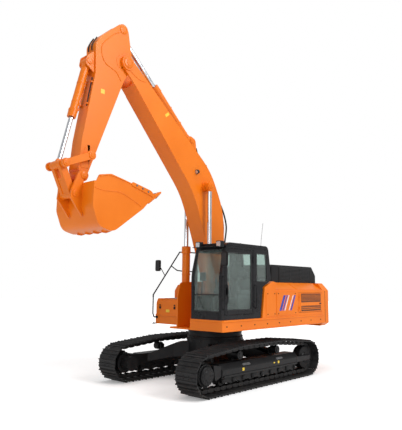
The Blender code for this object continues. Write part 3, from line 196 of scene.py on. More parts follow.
FINISHES = {}
ORANGE = ((0.80, 0.175, 0.004), (0.87, 0.205, 0.006))
BLACK = ((0.006, 0.006, 0.007), (0.012, 0.012, 0.013))
STRIPE = ((0.020, 0.035, 0.30), (0.030, 0.055, 0.42))
FINISH_TABLE = {
    "orange_paint": dict(dark=ORANGE[0], light=ORANGE[1], rough=(0.30, 0.40), scale=1.1, relief=0.0005,
                         coat=0.10, shine=0.3),
    "black_paint": dict(dark=BLACK[0], light=BLACK[1], rough=(0.34, 0.50), scale=2.0, relief=0.0008,
                        dust=((0.035, 0.031, 0.027), 0.8), shine=0.25),
    "cab_black": dict(dark=(0.007, 0.007, 0.008), light=(0.013, 0.013, 0.015), rough=(0.22, 0.32), scale=2.0,
                      relief=0.0004, coat=0.08, shine=0.25),
    "track_steel": dict(dark=(0.016, 0.016, 0.018), light=(0.040, 0.039, 0.039), rough=(0.40, 0.60),
                        metallic=0.35,
                        scale=6.0, grain=90.0, relief=0.002, dust=((0.06, 0.052, 0.044), 0.5), shine=0.3),
    "chrome_rod": dict(dark=(0.60, 0.62, 0.66), light=(0.76, 0.78, 0.81), rough=(0.08, 0.16),
                       metallic=1.0, scale=8.0,
                       grain=400.0, relief=0.0001),
    "grey_metal": dict(dark=(0.15, 0.15, 0.155), light=(0.26, 0.26, 0.27), rough=(0.38, 0.55), metallic=0.7,
                       scale=5.0, grain=120.0, relief=0.001),
    "seat_fabric": dict(dark=(0.020, 0.020, 0.022), light=(0.045, 0.045, 0.050), rough=(0.8, 0.95),
                        scale=40.0,
                        grain=700.0, relief=0.003),
    "rubber": dict(dark=(0.008, 0.008, 0.009), light=(0.018, 0.018, 0.019), rough=(0.5, 0.7), scale=12.0,
                   grain=300.0, relief=0.0006),
    "zinc_fitting": dict(dark=(0.50, 0.51, 0.52), light=(0.66, 0.67, 0.68), rough=(0.22, 0.34), metallic=1.0,
                         scale=20.0, grain=300.0, relief=0.0002),
    "dark_grille": dict(dark=(0.010, 0.010, 0.011), light=(0.020, 0.020, 0.021), rough=(0.55, 0.75),
                        scale=10.0,
                        grain=250.0, relief=0.001),
    "step_grey": dict(dark=(0.20, 0.20, 0.205), light=(0.32, 0.32, 0.325), rough=(0.5, 0.7), metallic=0.4,
                      scale=14.0, grain=110.0, relief=0.003),
    "yellow_mark": dict(dark=(0.80, 0.52, 0.03), light=(0.88, 0.62, 0.05), rough=(0.35, 0.45), scale=6.0,
                        grain=200.0, relief=0.0002),
    "stripe_white": dict(dark=(0.72, 0.73, 0.75), light=(0.82, 0.83, 0.85), rough=(0.25, 0.35), scale=6.0,
                         grain=200.0, relief=0.0002, coat=0.3),
    "stripe_blue": dict(dark=STRIPE[0], light=STRIPE[1], rough=(0.25, 0.35), scale=6.0,
                        grain=200.0, relief=0.0002, coat=0.3),
    "red_lens": dict(dark=(0.45, 0.010, 0.008), light=(0.60, 0.018, 0.012), rough=(0.12, 0.20), scale=12.0,
                     grain=300.0, relief=0.0006, coat=0.6),
    "lamp_lens": dict(dark=(0.55, 0.58, 0.60), light=(0.75, 0.78, 0.80), rough=(0.08, 0.16), metallic=0.6,
                      scale=30.0, grain=200.0, relief=0.002, coat=0.8),
    "mirror_face": dict(dark=(0.66, 0.70, 0.76), light=(0.76, 0.80, 0.86), rough=(0.03, 0.07), metallic=1.0,
                        scale=4.0, grain=200.0, relief=0.0001),
    "worn_steel": dict(dark=(0.30, 0.28, 0.26), light=(0.42, 0.40, 0.38), rough=(0.30, 0.48), metallic=0.9,
                       scale=14.0, grain=120.0, relief=0.001),
    "cab_trim": dict(dark=(0.060, 0.064, 0.066), light=(0.100, 0.106, 0.108), rough=(0.5, 0.65), scale=10.0,
                     grain=260.0, relief=0.001),
}


def glass_finish():
    """Tinted pane: a transmitting shader whose tint drifts slowly."""
    material, nodes, links, shader, coords = new_material("glass")
    tint = ramp(nodes, links, noise(nodes, links, coords, 1.5),
                [(0.3, (0.60, 0.72, 0.68)), (0.7, (0.66, 0.78, 0.74))])
    links.new(tint, shader.inputs["Base Color"])
    links.new(spread(nodes, links, noise(nodes, links, coords, 3.0), (0.3, 0.7), (0.02, 0.05)),
              shader.inputs["Roughness"])
    shader.inputs["Transmission Weight"].default_value = 0.92
    shader.inputs["IOR"].default_value = 1.45
    return material


def make_finishes():
    """All finishes of the table, with the main paint, the black and the stripes in the user's colours."""
    for name, facts in FINISH_TABLE.items():
        FINISHES[name] = finish(name, **{**facts, **chosen_tones(name)})
    FINISHES["glass"] = glass_finish()


def chosen_tones(name):
    """The two tones of a finish that the user may change."""
    settings = bpy.context.scene.excavator
    tones = {"orange_paint": (settings.paint_dark, settings.paint_light),
             "black_paint": (settings.black_dark, settings.black_light),
             "stripe_blue": (settings.stripe_dark, settings.stripe_light)}
    if name not in tones:
        return {}
    return dict(zip(("dark", "light"), (tuple(tone) for tone in tones[name])))


def paint_frame():
    """Gives each piece of the frame the finish of its slot in the record."""
    slots = {entry["node"]: entry["material_slot"] for entry in frame["record"]["subparts"]}
    for name, thing in frame["nodes"].items():
        thing.data.materials.clear()
        thing.data.materials.append(FINISHES[REPAINT.get(name, slots[name])])


# cylinder rods are chrome, their eyes are painted pieces of this script
REPAINT = {"control_console": "cab_trim"}


# ---------------------------------------------------------------- surfaces
def skin(rings, close=True):
    """Patch over a stack of rings (count, sides, 3): quads between neighbours, one face over each end."""
    rings = np.asarray(rings, float)
    count, sides = rings.shape[:2]
    index = np.arange(count * sides).reshape(count, sides)
    after = np.roll(index, -1, axis=1)
    faces = np.stack([index[:-1], after[:-1], after[1:], index[1:]], -1).reshape(-1, 4).tolist()
    if close:
        faces += [index[0][::-1].tolist(), index[-1].tolist()]
    return rings.reshape(-1, 3), faces


def inset(outline, distance):
    """Closed outline (n, 2) moved inwards along the mean of its corners' side normals, mitred."""
    outline = np.asarray(outline, float)
    ahead = np.roll(outline, -1, axis=0) - outline
    ahead /= np.linalg.norm(ahead, axis=1, keepdims=True)
    back = np.roll(ahead, 1, axis=0)
    area = np.sum(outline[:, 0] * np.roll(outline[:, 1], -1) - np.roll(outline[:, 0], -1) * outline[:, 1])
    turn = 1.0 if area > 0 else -1.0
    normals = turn * (np.stack([-ahead[:, 1], ahead[:, 0]], 1) + np.stack([-back[:, 1], back[:, 0]], 1))
    share = 1 + np.sum(ahead * back, axis=1, keepdims=True)
    return outline + normals / np.maximum(share, 0.3) * distance


def placed(axis, outline, position):
    """Outline (n, 2) as points: across X it is (y, z), across Y (x, z), across Z (x, y)."""
    outline = np.asarray(outline, float)
    column = np.full((len(outline), 1), position)
    if axis == "X":
        return np.hstack([column, outline])
    if axis == "Y":
        return np.hstack([outline[:, :1], column, outline[:, 1:]])
    return np.hstack([outline, column])


def slab(axis, outline, low, high, bevel=0.004):
    """Plate across an axis: the outline inset by the bevel at both faces and whole between them."""
    inner = inset(outline, bevel)
    return skin([placed(axis, inner, low), placed(axis, outline, low + bevel),
                 placed(axis, outline, high - bevel), placed(axis, inner, high)])


def soft_box(low, high, bevel=0.006):
    """Box between two corners with all edges chamfered."""
    (x0, y0, z0), (x1, y1, z1) = low, high
    b = min(bevel, 0.45 * min(x1 - x0, y1 - y0, z1 - z0))
    plan = [(x0 + b, y0), (x1 - b, y0), (x1, y0 + b), (x1, y1 - b), (x1 - b, y1), (x0 + b, y1), (x0, y1 - b),
            (x0, y0 + b)]
    return slab("Z", plan, z0, z1, b)


def arc_outline(corners, steps=5):
    """Outline through corners (u, v, radius): each corner is replaced by a quadratic curve of that reach."""
    points = np.array([corner[:2] for corner in corners], float)
    reach = np.array([corner[2] for corner in corners], float)[:, None]
    before = np.roll(points, 1, axis=0) - points
    after = np.roll(points, -1, axis=0) - points
    start = points + before / np.linalg.norm(before, axis=1, keepdims=True) * reach
    end = points + after / np.linalg.norm(after, axis=1, keepdims=True) * reach
    t = np.linspace(0, 1, steps)[None, :, None]
    curve = (1 - t) ** 2 * start[:, None] + 2 * t * (1 - t) * points[:, None] + t ** 2 * end[:, None]
    return np.concatenate([curve[k] if reach[k, 0] > 0 else points[k:k + 1] for k in range(len(points))])


def circle(radius, sides, centre=(0.0, 0.0), start=0.0):
    """Points at a radius about a centre, at even angles."""
    angle = start + np.linspace(0, 2 * np.pi, sides, endpoint=False)
    return np.stack([centre[0] + radius * np.cos(angle), centre[1] + radius * np.sin(angle)], 1)


def cross_frame(direction):
    """Two unit vectors across a direction."""
    direction = np.asarray(direction, float) / np.linalg.norm(direction)
    helper = np.array([1.0, 0, 0]) if abs(direction[0]) < 0.9 else np.array([0, 0, 1.0])
    across = np.cross(direction, helper)
    across /= np.linalg.norm(across)
    return direction, across, np.cross(direction, across)


def turned(start, direction, profile, sides=24):
    """Surface of revolution: each (distance, radius) of the profile is a ring about the axis from start."""
    axis, across, other = cross_frame(direction)
    unit = circle(1.0, sides)
    spokes = unit[:, :1] * across + unit[:, 1:] * other
    profile = np.asarray(profile, float)
    middles = np.asarray(start, float) + profile[:, :1] * axis
    return skin(middles[:, None] + profile[:, 1][:, None, None] * spokes)


def smooth_path(points, steps=8):
    """Catmull-Rom curve through points: a cubic between each pair whose slopes come from the neighbours."""
    points = np.asarray(points, float)
    padded = np.vstack([2 * points[0] - points[1], points, 2 * points[-1] - points[-2]])
    t = np.linspace(0, 1, steps, endpoint=False)[:, None]
    parts = [0.5 * (2 * b + (c - a) * t + (2 * a - 5 * b + 4 * c - d) * t ** 2
                    + (3 * b - a - 3 * c + d) * t ** 3)
             for a, b, c, d in zip(padded, padded[1:], padded[2:], padded[3:])]
    return np.vstack(parts + [points[-1:]])


def carried(path, outline):
    """Outline (n, 2) carried along a path: the two cross vectors turn with the path without twisting."""
    path = np.asarray(path, float)
    tangents = np.gradient(path, axis=0)
    tangents /= np.linalg.norm(tangents, axis=1, keepdims=True)
    _, across, _ = cross_frame(tangents[0])
    rings = []
    for point, tangent in zip(path, tangents):
        across = across - tangent * across.dot(tangent)
        across /= np.linalg.norm(across)
        other = np.cross(tangent, across)
        rings.append(point + outline[:, :1] * across + outline[:, 1:] * other)
    return skin(rings)


def hose(points, radius, sides=10, steps=8):
    """Round hose on a smooth curve through points."""
    return carried(smooth_path(points, steps), circle(radius, sides))


def pipe(points, radius, sides=10):
    """Round pipe with short bends: straight runs whose corners are cut by a small arc."""
    points = np.asarray(points, float)
    path = [points[0]]
    for before, corner, after in zip(points, points[1:], points[2:]):
        reach = min(3 * radius, 0.4 * np.linalg.norm(corner - before), 0.4 * np.linalg.norm(after - corner))
        start = corner + (before - corner) / np.linalg.norm(before - corner) * reach
        end = corner + (after - corner) / np.linalg.norm(after - corner) * reach
        t = np.linspace(0, 1, 5)[:, None]
        path += list((1 - t) ** 2 * start + 2 * t * (1 - t) * corner + t ** 2 * end)
    path.append(points[-1])
    return carried(np.array(path), circle(radius, sides))


def bolt(place, direction, size=0.03):
    """Washer and six-sided head with a chamfered top."""
    axis = np.asarray(direction, float)
    washer = turned(np.asarray(place) - 0.002 * axis, axis, [(0, size * 0.66), (0.005, size * 0.66)], 12)
    head = turned(np.asarray(place) + 0.002 * axis, axis,
                  [(0, size * 0.55), (size * 0.38, size * 0.55), (size * 0.46, size * 0.46)], 6)
    return [washer, head]


def bolts(places, direction, size=0.03):
    """One bolt at each place, all facing the same way."""
    return [patch for place in places for patch in bolt(place, direction, size)]


def bolt_ring(centre, x, sign, radius, count, size=0.026):
    """Bolts on a circle about a (y, z) centre, heads outwards along X."""
    spots = circle(radius, count, centre)
    return bolts([(x, y, z) for y, z in spots], (sign, 0, 0), size)


def mirrored(patches):
    """The same patches on the other side of the machine."""
    return [(points * (-1, 1, 1), [face[::-1] for face in faces]) for points, faces in patches]


def both(patches):
    """The patches and their mirror images in the machine's middle plane."""
    return patches + mirrored(patches)


def piece(name, patches, finish_name, body, replaces=(), smooth=True):
    """One object from patches in machine coordinates, at the origin, riding on a body."""
    points = []
    faces = []
    offset = 0
    for patch_points, patch_faces in patches:
        points.append(patch_points)
        faces += [[corner + offset for corner in face] for face in patch_faces]
        offset += len(patch_points)
    points = np.vstack(points) + (0, SWING_Y, 0)
    mesh = bpy.data.meshes.new(name)
    mesh.from_pydata(points.tolist(), [], faces)
    shell = bmesh.new()
    shell.from_mesh(mesh)
    bmesh.ops.recalc_face_normals(shell, faces=shell.faces)
    shell.to_mesh(mesh)
    shell.free()
    if smooth:
        mesh.shade_smooth()
        mesh.set_sharp_from_angle(angle=math.radians(32))
    thing = bpy.data.objects.new(name, mesh)
    bpy.context.scene.collection.objects.link(thing)
    mesh.materials.append(FINISHES[finish_name])
    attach(thing, body)
    if replaces:
        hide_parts(*replaces)
    return thing


def unit(start, end):
    """Direction from one (y, z) pivot to another, as a point in space."""
    direction = np.array([0.0, end[0] - start[0], end[1] - start[1]])
    return direction / np.linalg.norm(direction)


def at(x, pivot):
    """Pivot (y, z) as a point in space at a distance x to the left."""
    return np.array([x, pivot[0], pivot[1]])


# ---------------------------------------------------------------- tracks
def track_line(offset, samples=1600):
    """Closed line at an offset outside the rail: arcs about four wheels joined by their outer tangents."""
    end = WHEEL_BASE / 2
    wheels = [(-end, AXLE_Z, RAIL_RADIUS), (end, AXLE_Z, RAIL_RADIUS), (CARRIER[0], CARRIER[1], CARRIER[2]),
              (-CARRIER[0], CARRIER[1], CARRIER[2])]
    normals = []
    for (y, z, radius), (next_y, next_z, next_radius) in zip(wheels, wheels[1:] + wheels[:1]):
        length = math.hypot(next_y - y, next_z - z)
        normals.append(math.atan2(next_z - z,
                                  next_y - y) - math.pi / 2 + math.asin((radius - next_radius) / length))
    outline = []
    for index, (y, z, radius) in enumerate(wheels):
        turn = (normals[index] - normals[index - 1]) % (2 * math.pi)
        angle = normals[index - 1] + np.linspace(0, turn, 60)
        outline.append(np.stack([y + (radius + offset) * np.cos(angle),
                                 z + (radius + offset) * np.sin(angle)], 1))
    outline = np.vstack(outline + [outline[0][:1]])
    steps = np.linalg.norm(np.diff(outline, axis=0), axis=1)
    distance = np.concatenate([[0], np.cumsum(steps)])
    even = np.linspace(0, distance[-1], samples, endpoint=False)
    return np.stack([np.interp(even, distance, outline[:, k]) for k in (0, 1)], 1)


def chain_frames():
    """For each link: middle, direction and outward normal of the chord between two pins, and the pins."""
    line = track_line(PIN_LINE)
    share = np.arange(SHOES) * len(line) / SHOES
    pins = np.stack([np.interp(share, np.arange(len(line)), line[:, k]) for k in (0, 1)], 1)
    after = np.roll(pins, -1, axis=0)
    chord = after - pins
    length = np.linalg.norm(chord, axis=1, keepdims=True)
    along = chord / length
    return (pins + after) / 2, along, np.stack([along[:, 1], -along[:, 0]], 1), pins, float(length.mean())


def shoe_profile(pitch):
    """Section of a triple bar shoe: (share along the link, height above the pin line)."""
    low, plate, tip = SHOE_LOW - PIN_LINE, SHOE_LOW - PIN_LINE + 0.014, SHOE_TIP - PIN_LINE
    middle = plate + 0.6 * (tip - plate)
    half = 0.5 * pitch
    return np.array([(-half - 0.034, low - 0.008), (half - 0.012, low), (half + 0.004, low + 0.010),
                     (half + 0.004, plate),
                     (0.40 * pitch, plate + 0.004), (0.375 * pitch, middle), (0.335 * pitch, middle),
                     (0.31 * pitch, plate + 0.004), (0.09 * pitch, plate), (0.055 * pitch, tip - 0.012),
                     (0.035 * pitch, tip - 0.010), (0.0, tip - 0.010), (-0.02 * pitch, plate),
                     (-0.33 * pitch, plate + 0.004), (-0.385 * pitch, tip), (-0.43 * pitch, tip),
                     (-half + 0.004, plate), (-half + 0.004, low), (-half - 0.034, low - 0.002)])


def make_tracks():
    """Shoes: the bar section drawn across the width at each chord.

    Chain: two side bars and a pin for each link.
    """
    middles, along, outward, pins, pitch = chain_frames()
    profile = shoe_profile(pitch)
    # place of each shoe's section in (y, z): middle + share * direction + height * normal
    sections = (middles[:, None] + profile[None, :, :1] * along[:, None] + profile[None, :,
                                                                                   1:] * outward[:, None])
    bar = circle(1.0, 10) * (0.62 * pitch, 0.046)
    bars = middles[:, None] + bar[None, :, :1] * along[:, None] + (bar[None, :, 1:] - 0.006) * outward[:,
                                                                                                       None]
    for side, sign in (("left", 1), ("right", -1)):
        middle = sign * GAUGE / 2
        half = SHOE_WIDTH / 2
        shoes = []
        for section in sections:
            inner = section.mean(axis=0) + (section - section.mean(axis=0)) * (0.985, 0.985)
            shoes.append(skin([placed("X", inner, middle - half), placed("X", section, middle - half + 0.006),
                               placed("X", section, middle + half - 0.006),
                               placed("X", inner, middle + half)]))
        piece("track_shoes_" + side, shoes, "track_steel", "undercarriage", ["track_" + side])
        links = []
        for outline, pin in zip(bars, pins):
            links += [slab("X", outline, middle + low, middle + low + 0.032, 0.004) for low in (-0.10, 0.068)]
            links.append(turned(at(middle - 0.115, pin), (1, 0, 0),
                                [(0, 0.016), (0.004, 0.022), (0.226, 0.022),
                                                                     (0.230, 0.016)], 10))
        piece("track_chain_" + side, links, "track_steel", "undercarriage")
        heads = []
        height = SHOE_LOW - PIN_LINE + 0.014
        for centre, direction, normal in zip(middles, along, outward):
            for share in (-0.16, 0.20):
                spot = centre + direction * share * pitch + normal * height
                heads += [turned(at(middle + x, spot), (0, normal[0], normal[1]),
                                 [(0, 0.017), (0.009, 0.017), (0.012, 0.013)], 6) for x in (-0.075, 0.075)]
        piece("track_bolts_" + side, heads, "track_steel", "undercarriage")


# ---------------------------------------------------------------- undercarriage
def make_drives():
    """Final drive covers, bolt circles, idler faces and the caps of all rollers."""
    front = (-WHEEL_BASE / 2, AXLE_Z)
    rear = (WHEEL_BASE / 2, AXLE_Z)
    for side, sign in (("left", 1), ("right", -1)):
        middle = sign * GAUGE / 2
        out = (sign, 0, 0)
        cover = [turned(at(middle + sign * 0.12, front), out,
                        [(0, 0.232), (0.045, 0.236), (0.060, 0.232), (0.066, 0.222), (0.070, 0.205),
                         (0.110, 0.196),
                         (0.128, 0.178), (0.132, 0.120), (0.140, 0.110), (0.142, 0.050), (0.142, 0.004)], 48)]
        piece("drive_cover_" + side, cover, "black_paint", "undercarriage")
        heads = bolt_ring(front, middle + sign * 0.186, sign, 0.216, 26, 0.020)
        heads += bolt_ring(front, middle + sign * 0.251, sign, 0.150, 12, 0.022)
        heads += bolt_ring(front, middle + sign * 0.262, sign, 0.078, 3, 0.026)
        piece("drive_bolts_" + side, heads, "track_steel", "undercarriage")
        face = [turned(at(middle + sign * 0.088, rear), out,
                       [(0, 0.272), (0.014, 0.276), (0.020, 0.262), (0.012, 0.240), (0.006, 0.130),
                        (0.022, 0.110),
                        (0.026, 0.02)], 40),
                turned(at(middle - sign * 0.088, rear), (-sign, 0, 0),
                       [(0, 0.272), (0.014, 0.276), (0.020, 0.262), (0.012, 0.240), (0.006, 0.130),
                        (0.022, 0.110),
                        (0.026, 0.02)], 40)]
        piece("idler_faces_" + side, face, "black_paint", "undercarriage")
        caps = []
        for x, direction in ((middle + sign * 0.15, sign), (middle - sign * 0.15, -sign)):
            for k in range(9):
                centre = (k * 0.355 - 1.42, 0.2653)
                caps.append(turned(at(x, centre), (direction, 0, 0),
                                   [(0, 0.052), (0.018, 0.052), (0.024, 0.044), (0.026, 0.024),
                                    (0.034, 0.020),
                                    (0.034, 0.004)], 14))
                caps += bolts([(x, centre[0] + dy, 0.330) for dy in (-0.052, 0.052)],
                              (direction, 0, 0), 0.022)
        for y in (-CARRIER[0], CARRIER[0]):
            caps.append(turned(at(middle + sign * 0.078, (y, CARRIER[1])), out,
                               [(0, 0.096), (0.016, 0.098), (0.024, 0.088), (0.020, 0.060), (0.032, 0.050),
                                (0.034, 0.004)], 20))
        piece("roller_caps_" + side, caps, "black_paint", "undercarriage")


def make_track_frames():
    """Side plates, yokes, step pads, tie marks and the lower guard strip of each track frame."""
    for side, sign in (("left", 1), ("right", -1)):
        outer = sign * (GAUGE / 2 + 0.20)

        def across(low, high):
            return sorted((outer + sign * low, outer + sign * high))

        plates = []
        plate = arc_outline([(-1.50, 0.392, 0.02), (1.50, 0.392, 0.02), (1.50, 0.512, 0.02),
                             (-1.50, 0.512, 0.02)])
        plates.append(slab("X", plate, *across(0.0, 0.010), 0.004))
        low_strip = arc_outline([(-1.46, 0.345, 0.01), (1.46, 0.345, 0.01), (1.46, 0.386, 0.01),
                                 (-1.46, 0.386, 0.01)])
        plates.append(slab("X", low_strip, *across(-0.02, 0.022), 0.004))
        yoke = arc_outline([(1.44, 0.385, 0.03), (2.10, 0.40, 0.04), (2.12, 0.51, 0.04), (1.44, 0.525, 0.03)])
        plates.append(slab("X", yoke, *across(-0.005, 0.014), 0.005))
        collar = arc_outline([(-1.72, 0.30, 0.05), (-1.52, 0.38, 0.02), (-1.52, 0.60, 0.02),
                              (-1.78, 0.64, 0.05)])
        plates.append(slab("X", collar, *across(-0.33, -0.012), 0.006))
        piece("frame_plates_" + side, plates, "black_paint", "undercarriage")
        slope = np.array([[outer - sign * 0.055, 0.565], [outer - sign * 0.012, 0.535]])
        pads = []
        for y in (-0.62, 0.72):
            lift = np.array([sign * 0.010, 0.014])
            for bar_y in np.linspace(y - 0.11, y + 0.11, 7):
                section = np.vstack([slope, slope[::-1] + lift])
                pads.append(slab("Y", section, bar_y - 0.010, bar_y + 0.010, 0.002))
            section = np.vstack([slope, slope[::-1] + lift * 0.35])
            pads.append(slab("Y", section, y - 0.135, y + 0.135, 0.002))
        piece("step_pads_" + side, pads, "step_grey", "undercarriage")
        marks = []
        for y, z, half_y, half_z in ((-0.78, 0.462, 0.035, 0.032), (0.62, 0.478, 0.032, 0.030),
                                     (0.44, 0.478, 0.030, 0.014)):
            tag = arc_outline([(y - half_y, z - half_z, 0.01), (y + half_y, z - half_z, 0.01),
                               (y + half_y, z + half_z, 0.01), (y - half_y, z + half_z, 0.01)], 3)
            marks.append(slab("X", tag, *across(0.009, 0.013), 0.001))
        piece("tie_marks_" + side, marks, "yellow_mark", "undercarriage")


def make_turntable():
    """Bolt circles and race of the slewing ring, and the carbody's cover plates."""
    angles = np.linspace(0, 2 * np.pi, 36, endpoint=False)
    ring = [turned((0, 0, 1.002), (0, 0, 1), [(0, 0.700), (0.045, 0.706), (0.055, 0.700), (0.060, 0.680),
                                              (0.150, 0.678), (0.155, 0.690), (0.200, 0.694), (0.215, 0.686),
                                              (0.215, 0.60)], 72)]
    piece("slew_race", ring, "black_paint", "undercarriage")
    heads = bolts([(0.692 * math.cos(a), 0.692 * math.sin(a), 1.056) for a in angles], (0, 0, 1), 0.022)
    for a in angles[::2]:
        out = (math.cos(a), math.sin(a), 0)
        heads += bolt((0.717 * out[0], 0.717 * out[1], 0.95), out, 0.030)
    piece("slew_bolts", heads, "track_steel", "undercarriage")
    plates = []
    for front in (-1, 1):
        for sign in (-1, 1):
            run = [(sign * 0.50, front * 0.52, 0.885), (sign * 0.64, front * 0.63, 0.868),
                   (sign * 0.86, front * 0.82, 0.760), (sign * 1.06, front * 1.03, 0.640)]
            plates.append(carried(smooth_path(run, 6), np.array([(-0.012, -0.10), (0.012, -0.10),
                                                                 (0.012, 0.10),
                                                                 (-0.012, 0.10)])))
    piece("carbody_ribs", plates, "black_paint", "undercarriage")


# ---------------------------------------------------------------- surfaces of the frame
def probe(node):
    """Search tree over one piece of the frame, to find points on its surface."""
    mesh = frame["nodes"][node].data
    corners = [vertex.co - Vector((0, SWING_Y, 0)) for vertex in mesh.vertices]
    return BVHTree.FromPolygons(corners, [list(face.vertices) for face in mesh.polygons])


def touched(tree, start, direction):
    """First point of a surface along a ray, as an array."""
    place = tree.ray_cast(Vector(start), Vector(direction))[0]
    if place is None:
        raise RuntimeError("a ray missed the frame from %s" % (tuple(start),))
    return np.array(place)


def frame_ring(axis, low, high, position, width, thick, bevel=0.002):
    """Four flat strips round an opening: low and high are its corners on the two other axes."""
    (u0, v0), (u1, v1) = low, high
    strips = [(u0 - width, v0 - width, u1 + width, v0), (u0 - width, v1, u1 + width, v1 + width),
              (u0 - width, v0, u0, v1), (u1, v0, u1 + width, v1)]
    return [slab(axis, [(a, b), (c, b), (c, d), (a, d)], *sorted((position, position + thick)), bevel)
            for a, b, c, d in strips]


def tag(axis, low, high, position, thick, radius=0.01):
    """Flat plate with rounded corners."""
    (u0, v0), (u1, v1) = low, high
    outline = arc_outline([(u0, v0, radius), (u1, v0, radius), (u1, v1, radius), (u0, v1, radius)], 4)
    return slab(axis, outline, *sorted((position, position + thick)), min(0.002, abs(thick) * 0.4))


# ---------------------------------------------------------------- covers
SHOULDER = ((1.49, 2.20), (1.16, 2.40))         # x, z at the foot and head of the covers' slope
CAB_LEFT = 1.47
CAB_RIGHT = 0.57
CAB_TOP = 3.27


def shoulder_patch(y_low, y_high, low=0.06, high=0.94, thick=0.009):
    """Plate lying on the covers' sloping shoulder."""
    foot, head = np.array(SHOULDER)
    out = np.array([head[1] - foot[1], foot[0] - head[0]])
    out = out / np.linalg.norm(out) * thick
    start, end = foot + (head - foot) * low, foot + (head - foot) * high
    return slab("Y", [start, end, end + out, start + out], y_low, y_high, 0.003)


def make_covers():
    """Pressed side panels with seams between them, shoulder patches and the ledges along the decks."""
    panels = [tag("X", (0.585, 1.585), (1.535, 2.165), 1.489, 0.010, 0.02),
              tag("X", (0.135, 1.585), (0.545, 2.165), 1.489, 0.010, 0.02)]
    panels.append(shoulder_patch(0.60, 1.53))
    panels.append(shoulder_patch(1.585, 2.86))
    right = [shoulder_patch(1.585, 2.86), tag("X", (1.53, 1.585), (1.585, 2.165), 1.489, 0.008, 0.01)]
    piece("side_panels", panels + mirrored(right), "orange_paint", "upper")
    ledges = []
    for y_low in (-1.49, -0.68):
        x0, x1 = (1.482, 1.506) if y_low < -1 else (-1.506, -1.482)
        ledges.append(soft_box((x0, y_low, 1.500), (x1, 2.885, 1.546), 0.006))
        x0, x1 = (1.478, 1.500) if y_low < -1 else (-1.500, -1.478)
        ledges.append(soft_box((x0, y_low, 1.296), (x1, 2.885, 1.322), 0.005))
    ledges.append(soft_box((0.56, -1.520, 1.500), (1.49, -1.504, 1.546), 0.005))
    ledges.append(soft_box((-1.49, -0.712, 1.500), (-0.56, -0.696, 1.546), 0.005))
    piece("deck_ledges", ledges, "orange_paint", "upper")
    heads = []
    for y in (0.20, 0.50, 0.66, 1.45):
        heads += bolts([(1.499, y, 1.63), (1.499, y, 2.12)], (1, 0, 0), 0.020)
    for y in np.linspace(-1.35, 2.75, 9):
        heads += bolts([(1.490, y, 1.41)], (1, 0, 0), 0.024)
        if y > -0.6:
            heads += bolts([(-1.490, y, 1.41)], (-1, 0, 0), 0.024)
    piece("cover_bolts", heads, "black_paint", "upper")
    for side, sign in (("left", 1), ("right", -1)):
        node = side + "_rear_door"
        skins = [tag("X", (1.690, 1.640), (2.820, 2.120), sign * 1.489, sign * 0.011, 0.025)]
        piece("door_skin_" + side, skins, "orange_paint", node)
        slats = []
        for z in list(np.linspace(1.925, 2.085, 6)) + [1.69, 1.73, 1.77]:
            section = np.array([(1.498, z + 0.008), (1.510, z - 0.006), (1.510, z - 0.010),
                                (1.498, z - 0.008)])
            slats.append(slab("Y", section * (sign, 1), 1.76, 2.74, 0.001))
        slats += frame_ring("X", (1.755, 1.905), (2.745, 2.100), sign * 1.499, 0.014, sign * 0.006)
        slats += frame_ring("X", (1.755, 1.672), (2.745, 1.785), sign * 1.499, 0.012, sign * 0.006)
        slats.append(soft_box((min(sign * 1.499, sign * 1.516), 2.70, 1.825),
                              (max(sign * 1.499, sign * 1.516), 2.77, 1.865), 0.004))
        piece("door_louvres_" + side, slats, "dark_grille", node)
    bars = []
    lean = 0.20
    for start, width in ((0.70, 0.10), (0.84, 0.05), (1.20, 0.07)):
        bars.append(slab("X", [(start, 1.70), (start + width, 1.70), (start + width + lean, 2.08),
                               (start + lean, 2.08)], 1.4985, 1.5010, 0.0008))
    piece("stripes_blue", bars, "stripe_blue", "upper")
    bars = []
    for start, width in ((0.93, 0.035), (1.13, 0.03)):
        bars.append(slab("X", [(start, 1.70), (start + width, 1.70), (start + width + lean, 2.08),
                               (start + lean, 2.08)], 1.4985, 1.5010, 0.0008))
    piece("stripes_white", bars, "stripe_white", "upper")


def make_hood_detail():
    """Louvres on the hood's sides, pressed pads on its top, lock and handles."""
    slats = []
    for face, sign in ((1.12, 1), (-1.02, -1)):
        for z in np.linspace(2.475, 2.765, 9):
            section = np.array([(face - sign * 0.002, z + 0.014), (face + sign * 0.018, z - 0.008),
                                (face + sign * 0.018, z - 0.014), (face - sign * 0.002, z - 0.006)])
            slats.append(slab("Y", section, 1.30, 2.84, 0.001))
        slats += frame_ring("X", (1.285, 2.445), (2.855, 2.790), face, 0.022, sign * 0.012)
        for y in (1.80, 2.33):
            slats.append(soft_box((min(face, face + sign * 0.014), y - 0.012, 2.445),
                                  (max(face, face + sign * 0.014), y + 0.012, 2.790), 0.003))
    piece("hood_louvres", slats, "dark_grille", "engine_hood")
    pads = [tag("Z", (-0.86, 1.10), (0.96, 1.58), 2.858, 0.014, 0.03),
            tag("Z", (-0.86, 1.66), (0.96, 2.24), 2.858, 0.014, 0.03),
            tag("Z", (-0.86, 2.32), (0.96, 2.80), 2.858, 0.014, 0.03)]
    for x in (-0.55, 0.65):
        pads.append(pipe([(x - 0.08, 3.158, 2.50), (x - 0.08, 3.190, 2.50), (x + 0.08, 3.190, 2.50),
                          (x + 0.08, 3.158, 2.50)], 0.009))
        pads.append(soft_box((x - 0.05, 3.156, 2.42), (x + 0.05, 3.172, 2.46), 0.004))
    piece("hood_pads", pads, "black_paint", "engine_hood")
    mesh_bars = []
    for y in np.linspace(1.72, 2.18, 12):
        mesh_bars.append(soft_box((-0.80, y - 0.006, 2.871), (0.90, y + 0.006, 2.877), 0.002))
    piece("hood_grille", mesh_bars, "dark_grille", "engine_hood")


